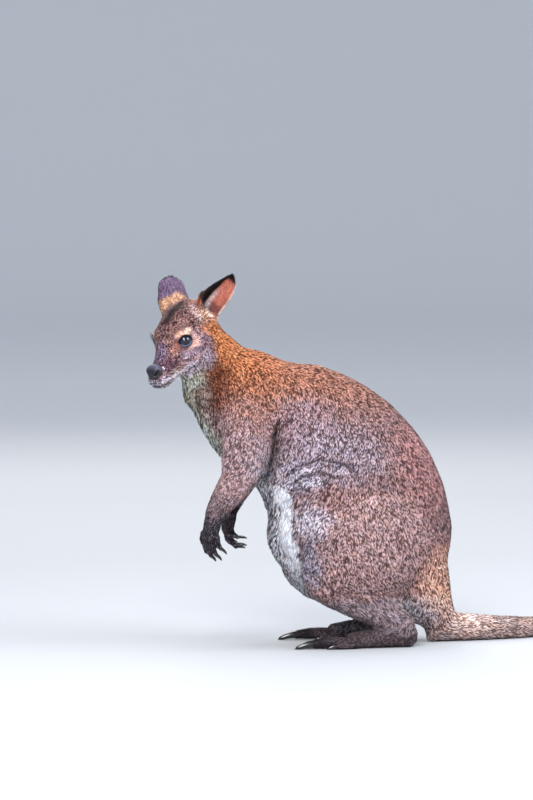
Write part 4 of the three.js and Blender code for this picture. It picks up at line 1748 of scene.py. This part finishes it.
@dataclass
class Eyeball:
    """One eyeball, with a slightly raised cornea."""

    eye: Eye
    name: str
    pupil: float = math.radians(27)
    iris: float = math.radians(52)
    bulge: float = 0.5

    PUPIL = "#02030a"
    IRIS = "#0b1030"
    IRIS_EDGE = "#161c40"
    WHITE = "#08080e"

    def build(self, material: bpy.types.Material) -> bpy.types.Object:
        """Builds the eyeball.

        Args:
            material: its finish.

        Returns:
            The eyeball.
        """
        bm = bmesh.new()
        bmesh.ops.create_uvsphere(bm, u_segments=64, v_segments=48, radius=1.0)
        mesh = mesh_from(bm)
        ways = read(mesh, "vertices", "co", 3).astype(float)
        tilt = np.arccos(np.clip(ways[:, 2], -1, 1))
        reach = self.eye.radius + self.bulge * smoothstep(self.iris, 0, tilt)
        move_points(mesh, self.eye.axes.world(ways * reach[:, None]))
        colours = np.broadcast_to(linear(self.WHITE), ways.shape).copy()
        edges = ((self.iris, self.IRIS_EDGE), (self.iris * 0.86, self.IRIS), (self.pupil, self.PUPIL))
        for edge, colour in edges:
            cover = smoothstep(edge + 0.05, edge - 0.05, tilt)[:, None]
            colours += cover * (linear(colour) - colours)
        paint(mesh, colours)
        return belong(stand(self.name, mesh, material), "eye", self.name)


@dataclass
class NosePad:
    """The bare nose with its two comma-shaped nostrils and the groove down to the lip."""

    nose: Nose
    nostril: tuple[tuple[float, float], ...] = ((7.2, 8.4), (5.4, 11.0), (3.2, 12.9), (0.0, 13.9))
    nostril_depth: float = 5.0
    nostril_half_width: float = 2.1
    groove_depth: float = 1.5
    groove_half_width: float = 1.0

    LEATHER = "#191722"
    # the pad's top is painted lighter and violet: a painted reflection of the sky
    LEATHER_TOP_REFLECTION = "#3b3749"
    # the nostrils and the groove are painted near black: dark leather with painted shade in the hollows
    HOLLOW_SHADE = "#020203"
    BOXY = 0.82  # below 1 the pad is squarer than an ellipsoid

    def build(self, material: bpy.types.Material) -> bpy.types.Object:
        """Builds the nose.

        Args:
            material: its finish.

        Returns:
            The nose.
        """
        bm = bmesh.new()
        bmesh.ops.create_icosphere(bm, subdivisions=6, radius=1.0)
        mesh = mesh_from(bm)
        ways = read(mesh, "vertices", "co", 3).astype(float)
        down, out, left = ways.T
        boxy = np.sign(ways) * np.abs(ways) ** self.BOXY
        size = (self.nose.half_length, self.nose.thickness, self.nose.half_width)
        local = boxy * size
        local[:, 1] -= 1.6 * smoothstep(0.0, 0.7, np.abs(down + 0.25)) * (out > 0)
        local[:, 2] *= 1 - 0.3 * smoothstep(0.1, 1.0, down) - 0.12 * smoothstep(-0.3, -1, down)
        wing = np.exp(-(((np.abs(left) - 0.62) / 0.3) ** 2)) * smoothstep(-0.5, 0.3, down)
        local[:, 1] += 1.3 * wing * (out > 0)
        flat = np.column_stack([local[:, 0], np.abs(local[:, 2]), np.zeros(len(local))])
        line = np.array([(d, w, 0.0) for d, w in self.nostril])
        gap, _ = to_line(flat, line)
        hole = np.exp(-((gap / self.nostril_half_width) ** 2)) * smoothstep(0, 0.2, out)
        groove = np.exp(-((local[:, 2] / self.groove_half_width) ** 2))
        groove = groove * smoothstep(0.1, 0.5, down) * (out > 0)
        sink = self.nostril_depth * hole + self.groove_depth * groove
        local -= unit(ways / size) * sink[:, None]
        move_points(mesh, self.nose.axes.world(local))
        colours = np.broadcast_to(linear(self.LEATHER), ways.shape).copy()
        # painted reflection of the sky on the pad's top
        colours += smoothstep(0.05, -0.5, down)[:, None] * (linear(self.LEATHER_TOP_REFLECTION) - colours)
        # painted shade in the nostrils and the groove
        dark = np.clip(hole * 1.4 + groove * 0.6, 0, 1)[:, None]
        paint(mesh, colours + dark * (linear(self.HOLLOW_SHADE) - colours))
        return belong(stand("nose", mesh, material), "nose_leather", "nose")


@dataclass
class Claws:
    """All the claws of one foot or paw, smooth and curved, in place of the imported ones."""

    name: str
    nodes: tuple[str, ...]
    steps: int = 12
    sides: int = 14
    root: float = 2.5  # how far a claw reaches into the toe
    fatness: float = 1.5
    longer: float = 1.2

    def build(self, material: bpy.types.Material) -> bpy.types.Object:
        """Builds the claws.

        Args:
            material: their finish.

        Returns:
            The claws as one piece.
        """
        bm = bmesh.new()
        for node in self.nodes:
            self.add(bm, node_points(node))
        return belong(stand(self.name, finish_tubes(bm), material), "claw", *self.nodes)

    def add(self, bm: bmesh.types.BMesh, points: Array) -> None:
        """Adds a claw along the middle line of a packed one.

        Args:
            bm: where it goes.
            points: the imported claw's vertices.
        """
        middle = points.mean(0)
        along = (points - middle) @ np.linalg.svd(points - middle, full_matrices=False)[2][0]
        share = (along - along.min()) / np.ptp(along)
        ends = [points[share < 0.08], points[share > 0.92]]
        spreads = [np.linalg.norm(end - end.mean(0), axis=1).max() for end in ends]
        if spreads[0] < spreads[1]:
            ends.reverse()
        belly = points[np.abs(share - 0.5) < 0.2]
        base, tip = ends[0].mean(0), ends[1].mean(0)
        waist = belly.mean(0) if len(belly) else (base + tip) / 2
        tip = waist + (tip - waist) * self.longer
        base = base + unit(base - waist) * self.root
        line = bow(base, waist, tip, self.steps)
        t = np.linspace(0, 1, self.steps)
        radii = max(spreads) * self.fatness * np.sqrt(np.maximum(1 - t**1.7, 0))
        line[:, 2] = np.maximum(line[:, 2], radii)  # a hind claw rests on the floor
        add_tube(bm, line, radii, self.sides)


@dataclass
class Bristles:
    """Thin stiff hairs: lashes over the eyes, and whiskers on the muzzle and the chin."""

    skin: Skin
    eyes: list[Eye]
    anatomy: Anatomy
    seed: int = 19
    steps: int = 7

    WHISKER_ROOTS = ((60, -22, 19), (55, -27, 21), (50, -22, 23), (47, -30, 24), (62, -29, 17),
                     (42, -25, 25), (66, -24, 16), (53, -20, 22))
    CHIN_ROOTS = ((62, -50, 7), (56, -55, 4), (50, -56, 9), (66, -46, 5), (44, -58, 6), (58, -51, 11))

    def lashes(self, material: bpy.types.Material) -> bpy.types.Object:
        """Builds the lashes of both upper lids.

        Args:
            material: their finish.

        Returns:
            The lashes.
        """
        draw = np.random.default_rng(self.seed)
        bm = bmesh.new()
        for eye in self.eyes:
            for t in np.linspace(-0.78, 0.72, 17):
                across = eye.across * t
                height = eye.up * (1 - t * t) * 0.98
                outward = math.cos(across) * math.cos(height)
                way = unit(np.array([math.sin(across), math.sin(height), outward]))
                start = way * (eye.radius + 0.5)
                reach = draw.uniform(8, 12)
                out = unit(way + [0.15 * draw.normal(), 0.35, 0.25])
                end = start + out * reach + np.array([0, 1.6, 0])
                waist = (start + end) / 2 - np.array([0, 0.9, -0.5])
                line = eye.axes.world(bow(start, waist, end, self.steps))
                add_tube(bm, line, np.linspace(0.42, 0, self.steps), 5)
        return self.done("lashes", bm, material)

    def whiskers(self, material: bpy.types.Material) -> bpy.types.Object:
        """Builds the whiskers on both sides of the muzzle, and the finer ones under the chin.

        Args:
            material: their finish.

        Returns:
            The whiskers.
        """
        draw = np.random.default_rng(self.seed + 1)
        bm = bmesh.new()
        tables = ((self.WHISKER_ROOTS, (26, 42), (-0.45, -0.45, 1.0), 0.22),
                  (self.CHIN_ROOTS, (12, 20), (0.2, -1.0, 0.25), 0.18))
        for roots, lengths, lean, radius in tables:
            for place in roots:
                for side in (1, -1):
                    fold = np.array([1, 1, side])
                    start = self.on_skin(self.anatomy.head.world(np.array(place, float) * fold))
                    lean_now = (unit(np.array(lean)) + draw.normal(size=3) * 0.14) * fold
                    out = unit(lean_now) @ self.anatomy.head.rows
                    reach = draw.uniform(*lengths)
                    end = start + out * reach - np.array([0, 0, 0.14 * reach])
                    waist = (start + end) / 2 + np.array([0, 0, 0.08 * reach])
                    line = bow(start, waist, end, self.steps)
                    add_tube(bm, line, np.linspace(radius, 0, self.steps), 5)
        return self.done("whiskers", bm, material)

    def on_skin(self, point: Array) -> Array:
        """Gives the skin's vertex that is nearest to a point."""
        return self.skin.points[np.argmin(((self.skin.points - point) ** 2).sum(1))]

    def done(self, name: str, bm: bmesh.types.BMesh, material: bpy.types.Material) -> bpy.types.Object:
        """Stands the hairs in the scene as one piece of the coat."""
        return belong(stand(name, finish_tubes(bm), material), "coat")


# ---------------------------------------------------------------------------- finishes


def add_node(tree: bpy.types.NodeTree, kind: str, inputs: dict | None = None,
             **settings: object) -> bpy.types.Node:
    """Adds a node to a material.

    Args:
        tree: the material's node tree.
        kind: the node's type.
        inputs: a value or another node's output for each named input.
        **settings: the node's own settings.

    Returns:
        The node.
    """
    node = tree.nodes.new(kind)
    for name, value in settings.items():
        setattr(node, name, value)
    for name, value in (inputs or {}).items():
        if isinstance(value, bpy.types.NodeSocket):
            tree.links.new(value, node.inputs[name])
        else:
            node.inputs[name].default_value = value
    return node


@dataclass(frozen=True)
class Finish:
    """A surface that takes its colour from the markings, with a fine relief of its own."""

    name: str
    roughness: float
    tint: float = 1.0  # times the colour of the markings
    specular: float = 0.5
    sheen: float = 0.0
    coat: float = 0.0
    coat_roughness: float = 0.03
    ior: float = 1.45
    grain: float = 0.0  # size of the relief's cells, in millimetres
    relief: float = 0.0  # its height, in millimetres
    cells: bool = False  # pebbles rather than grain
    colour: str = ""  # in place of the markings

    def build(self) -> bpy.types.Material:
        """Builds the material.

        Returns:
            The material.
        """
        material = bpy.data.materials.new(self.name)
        material.use_nodes = True
        tree = material.node_tree
        tree.nodes.clear()
        shader = add_node(tree, "ShaderNodeBsdfPrincipled", {
            "Roughness": self.roughness,
            "Specular IOR Level": self.specular,
            "Sheen Weight": self.sheen,
            "Sheen Roughness": 0.45,
            "Coat Weight": self.coat,
            "Coat Roughness": self.coat_roughness,
            "IOR": self.ior,
        })
        if self.colour:
            shader.inputs["Base Color"].default_value = rgba(self.colour)
        else:
            marks = add_node(tree, "ShaderNodeAttribute", attribute_name=COLOUR, attribute_type="GEOMETRY")
            tint = (self.tint, self.tint, self.tint, 1)
            mixed = add_node(tree, "ShaderNodeMix", {"Factor": 1.0, "A": marks.outputs["Color"], "B": tint},
                             data_type="RGBA", blend_type="MULTIPLY") if self.tint != 1 else None
            colour = mixed.outputs["Result"] if mixed else marks.outputs["Color"]
            tree.links.new(colour, shader.inputs["Base Color"])
        if self.relief:
            place = add_node(tree, "ShaderNodeTexCoord")
            scale = 1 / (self.grain * MM)
            if self.cells:
                pattern = add_node(tree, "ShaderNodeTexVoronoi", {
                    "Vector": place.outputs["Object"], "Scale": scale})
                height = pattern.outputs["Distance"]
            else:
                pattern = add_node(tree, "ShaderNodeTexNoise", {
                    "Vector": place.outputs["Object"], "Scale": scale, "Detail": 3.0})
                height = pattern.outputs["Fac"]
            bump = add_node(tree, "ShaderNodeBump", {
                "Height": height, "Distance": self.relief * MM, "Strength": 0.8})
            tree.links.new(bump.outputs["Normal"], shader.inputs["Normal"])
        output = add_node(tree, "ShaderNodeOutputMaterial")
        tree.links.new(shader.outputs["BSDF"], output.inputs["Surface"])
        return material


# Guard hair: each one scatters light softly along its length, with a faint silky sheen at its edge.
FUR = Finish("guard hair", roughness=0.6, specular=0.12, sheen=0.05)
# Underfur close to the skin: darker, because little light comes down between the hairs, and dull.
UNDERFUR = Finish("underfur", roughness=0.85, tint=0.42, specular=0.15, grain=1.2, relief=0.35)
# A wet cornea over a dark iris: a hard bright reflection on deep blue-black.
CORNEA = Finish("wet cornea", roughness=0.05, specular=0.6, coat=0.2, ior=1.42)
# Bare nose leather: moist, pebbled, so that the light breaks up into small soft glints.
LEATHER = Finish("nose leather", roughness=0.45, specular=0.4, coat=0.15, coat_roughness=0.3, grain=1.3,
                 relief=0.3, cells=True)
# Horn of the claws: near black, polished by the ground, with a sharp narrow glint.
HORN = Finish("claw horn", roughness=0.22, specular=0.6, coat=0.5, coat_roughness=0.15, grain=0.9,
              relief=0.06, colour="#15110f")
# Lashes: black and slightly glossy.
LASH = Finish("lash", roughness=0.4, colour="#0c090b")
# Whiskers: pale horn, almost translucent to the eye.
WHISKER = Finish("whisker", roughness=0.35, colour="#cfc4bd")
# A pale matt studio floor.
FLOOR = Finish("studio floor", roughness=0.9, specular=0.2)


# ---------------------------------------------------------------------------- the studio


def outward(azimuth: float, elevation: float) -> Vector:
    """Gives the direction from the animal to a camera or a lamp, in the row frame.

    Args:
        azimuth: in radians, 0 towards -Y and a quarter turn towards +X.
        elevation: in radians.

    Returns:
        A direction of length one.
    """
    level = math.cos(elevation)
    return Vector((level * math.sin(azimuth), -level * math.cos(azimuth), math.sin(elevation)))


@dataclass
class Studio:
    """The camera, the lamps and the floor, which runs up into a wall all round."""

    target: Triple = (-263.23, -93.5, 429.4)
    azimuth: float = math.radians(-12)
    elevation: float = math.radians(4)
    distance: float = 7730.0
    lens: float = 200.0
    sensor: float = 36.0
    floor_radius: float = 14_000.0
    wall_bend: float = 3_000.0
    wall_top: float = 7_000.0

    # The floor is painted darker near the middle and paler far out and up the wall: painted against the
    # lamps' light, which falls mostly near the middle, so that floor and wall look evenly pale
    NEAR = "#a8aaad"
    FAR = "#e2e4e7"

    def camera(self) -> None:
        """Sets up the camera, an upright picture from far off."""
        data = bpy.data.cameras.new("camera")
        data.lens = self.lens
        data.sensor_width = self.sensor
        data.clip_end = 100
        made = bpy.data.objects.new("camera", data)
        bpy.context.scene.collection.objects.link(made)
        back = outward(self.azimuth, self.elevation)
        made.location = (Vector(self.target) + back * self.distance) * MM
        made.rotation_euler = back.to_track_quat("Z", "Y").to_euler()
        bpy.context.scene.camera = made
        bpy.context.scene.view_settings.view_transform = "Standard"

    def lamp(self, name: str, azimuth: float, elevation: float, away: float, size: float, power: float,
             colour: str) -> None:
        """Hangs a square lamp that faces the animal.

        Args:
            name: its name.
            azimuth: where it hangs, in degrees, counted as for the camera.
            elevation: the same.
            away: metres from the animal.
            size: of its side, in metres.
            power: in watts.
            colour: of its light.
        """
        data = bpy.data.lights.new(name, "AREA")
        data.size = size
        data.energy = power
        data.color = linear(colour).tolist()
        made = bpy.data.objects.new(name, data)
        bpy.context.scene.collection.objects.link(made)
        way = outward(math.radians(azimuth), math.radians(elevation))
        made.location = Vector(self.target) * MM + way * away
        made.rotation_euler = way.to_track_quat("Z", "Y").to_euler()

    def light(self) -> None:
        """Lights the animal as a bright sky does: softly from above, a little more from one side."""
        self.lamp("key", -26, 36, 3.2, 1.3, 105, "#fffcf6")
        self.lamp("front", -15, 13, 3.4, 1.1, 62, "#e2ebff")
        self.lamp("side", 62, 26, 3.6, 2.4, 155, "#f8faff")
        self.lamp("sky", 150, 76, 3.6, 3.0, 110, "#f2f6ff")
        self.lamp("rim", 176, 36, 4.2, 2.0, 70, "#fffaf2")
        world = bpy.data.worlds.new("sky")
        bpy.context.scene.world = world
        world.use_nodes = True
        background = world.node_tree.nodes["Background"]
        background.inputs["Color"].default_value = rgba("#e4ebf7")
        background.inputs["Strength"].default_value = 0.72

    def floor(self) -> None:
        """Builds the floor and its wall by turning their profile."""
        bm = bmesh.new()
        flat = self.floor_radius - self.wall_bend
        angles = np.linspace(0, math.pi / 2, 9)
        profile = [(flat * share, 0.0) for share in np.linspace(0, 1, 9)]
        bend = self.wall_bend
        profile += [(flat + bend * math.sin(a), bend * (1 - math.cos(a))) for a in angles[1:]]
        profile += [(self.floor_radius, self.wall_top)]
        verts = [bm.verts.new((x * MM, 0, z * MM)) for x, z in profile]
        edges = [bm.edges.new(pair) for pair in zip(verts[:-1], verts[1:])]
        bmesh.ops.spin(bm, geom=verts + edges, cent=(0, 0, 0), axis=(0, 0, 1), angle=math.tau, steps=64,
                       use_merge=True)
        bmesh.ops.remove_doubles(bm, verts=bm.verts, dist=1e-5)
        bmesh.ops.recalc_face_normals(bm, faces=bm.faces)
        bmesh.ops.reverse_faces(bm, faces=bm.faces)
        mesh = mesh_from(bm)
        points = points_of(mesh)
        far = smoothstep(0.1, 0.5, np.hypot(points[:, 0], points[:, 1]) / self.floor_radius)[:, None]
        paint(mesh, linear(self.NEAR) + far * (linear(self.FAR) - linear(self.NEAR)))
        stand("floor", mesh, FLOOR.build())


# ---------------------------------------------------------------------------- the whole


def claw_sets() -> list[Claws]:
    """Gives the claws of each paw and foot.

    Returns:
        Four sets of claws.
    """
    made = []
    for side in ("left", "right"):
        fore = tuple(sorted(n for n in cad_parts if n.startswith(f"claw_fore_{side}")))
        hind = tuple(sorted(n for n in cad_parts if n.startswith(f"claw_hind_{side}")))
        made.append(Claws(f"claws_fore_{side}", fore))
        made.append(Claws(f"claws_hind_{side}", hind))
    return made


def main() -> None:
    """Builds the studio and the animal, piece by piece."""
    logging.basicConfig(level=logging.INFO, format="%(name)s: %(message)s")
    studio = Studio()
    studio.camera()
    studio.light()
    studio.floor()
    anatomy = Anatomy.find()
    eyes = Eye.pair(anatomy)
    nose = Nose.find(anatomy)
    skin = Skin(anatomy, eyes, nose)
    markings = Markings(anatomy, eyes, nose)
    hide = skin.build()
    hide.data.materials.append(UNDERFUR.build())
    paint(hide.data, markings.colours(skin.points, skin.normals, skin.shares))
    flesh = [node for region in REGIONS for node in region.value]
    belong(hide, "coat", *(node for node in flesh if node not in ("nose", "eye_left", "eye_right")))
    fur = FUR.build()
    Coat(skin, markings).build(fur)
    cornea = CORNEA.build()
    for eye, name in zip(eyes, ("eye_left", "eye_right")):
        Eyeball(eye, name).build(cornea)
    NosePad(markings.nose).build(LEATHER.build())
    horn = HORN.build()
    for claws in claw_sets():
        claws.build(horn)
    bristles = Bristles(skin, eyes, anatomy)
    bristles.lashes(LASH.build())
    bristles.whiskers(WHISKER.build())


if __name__ == "__main__":
    main()
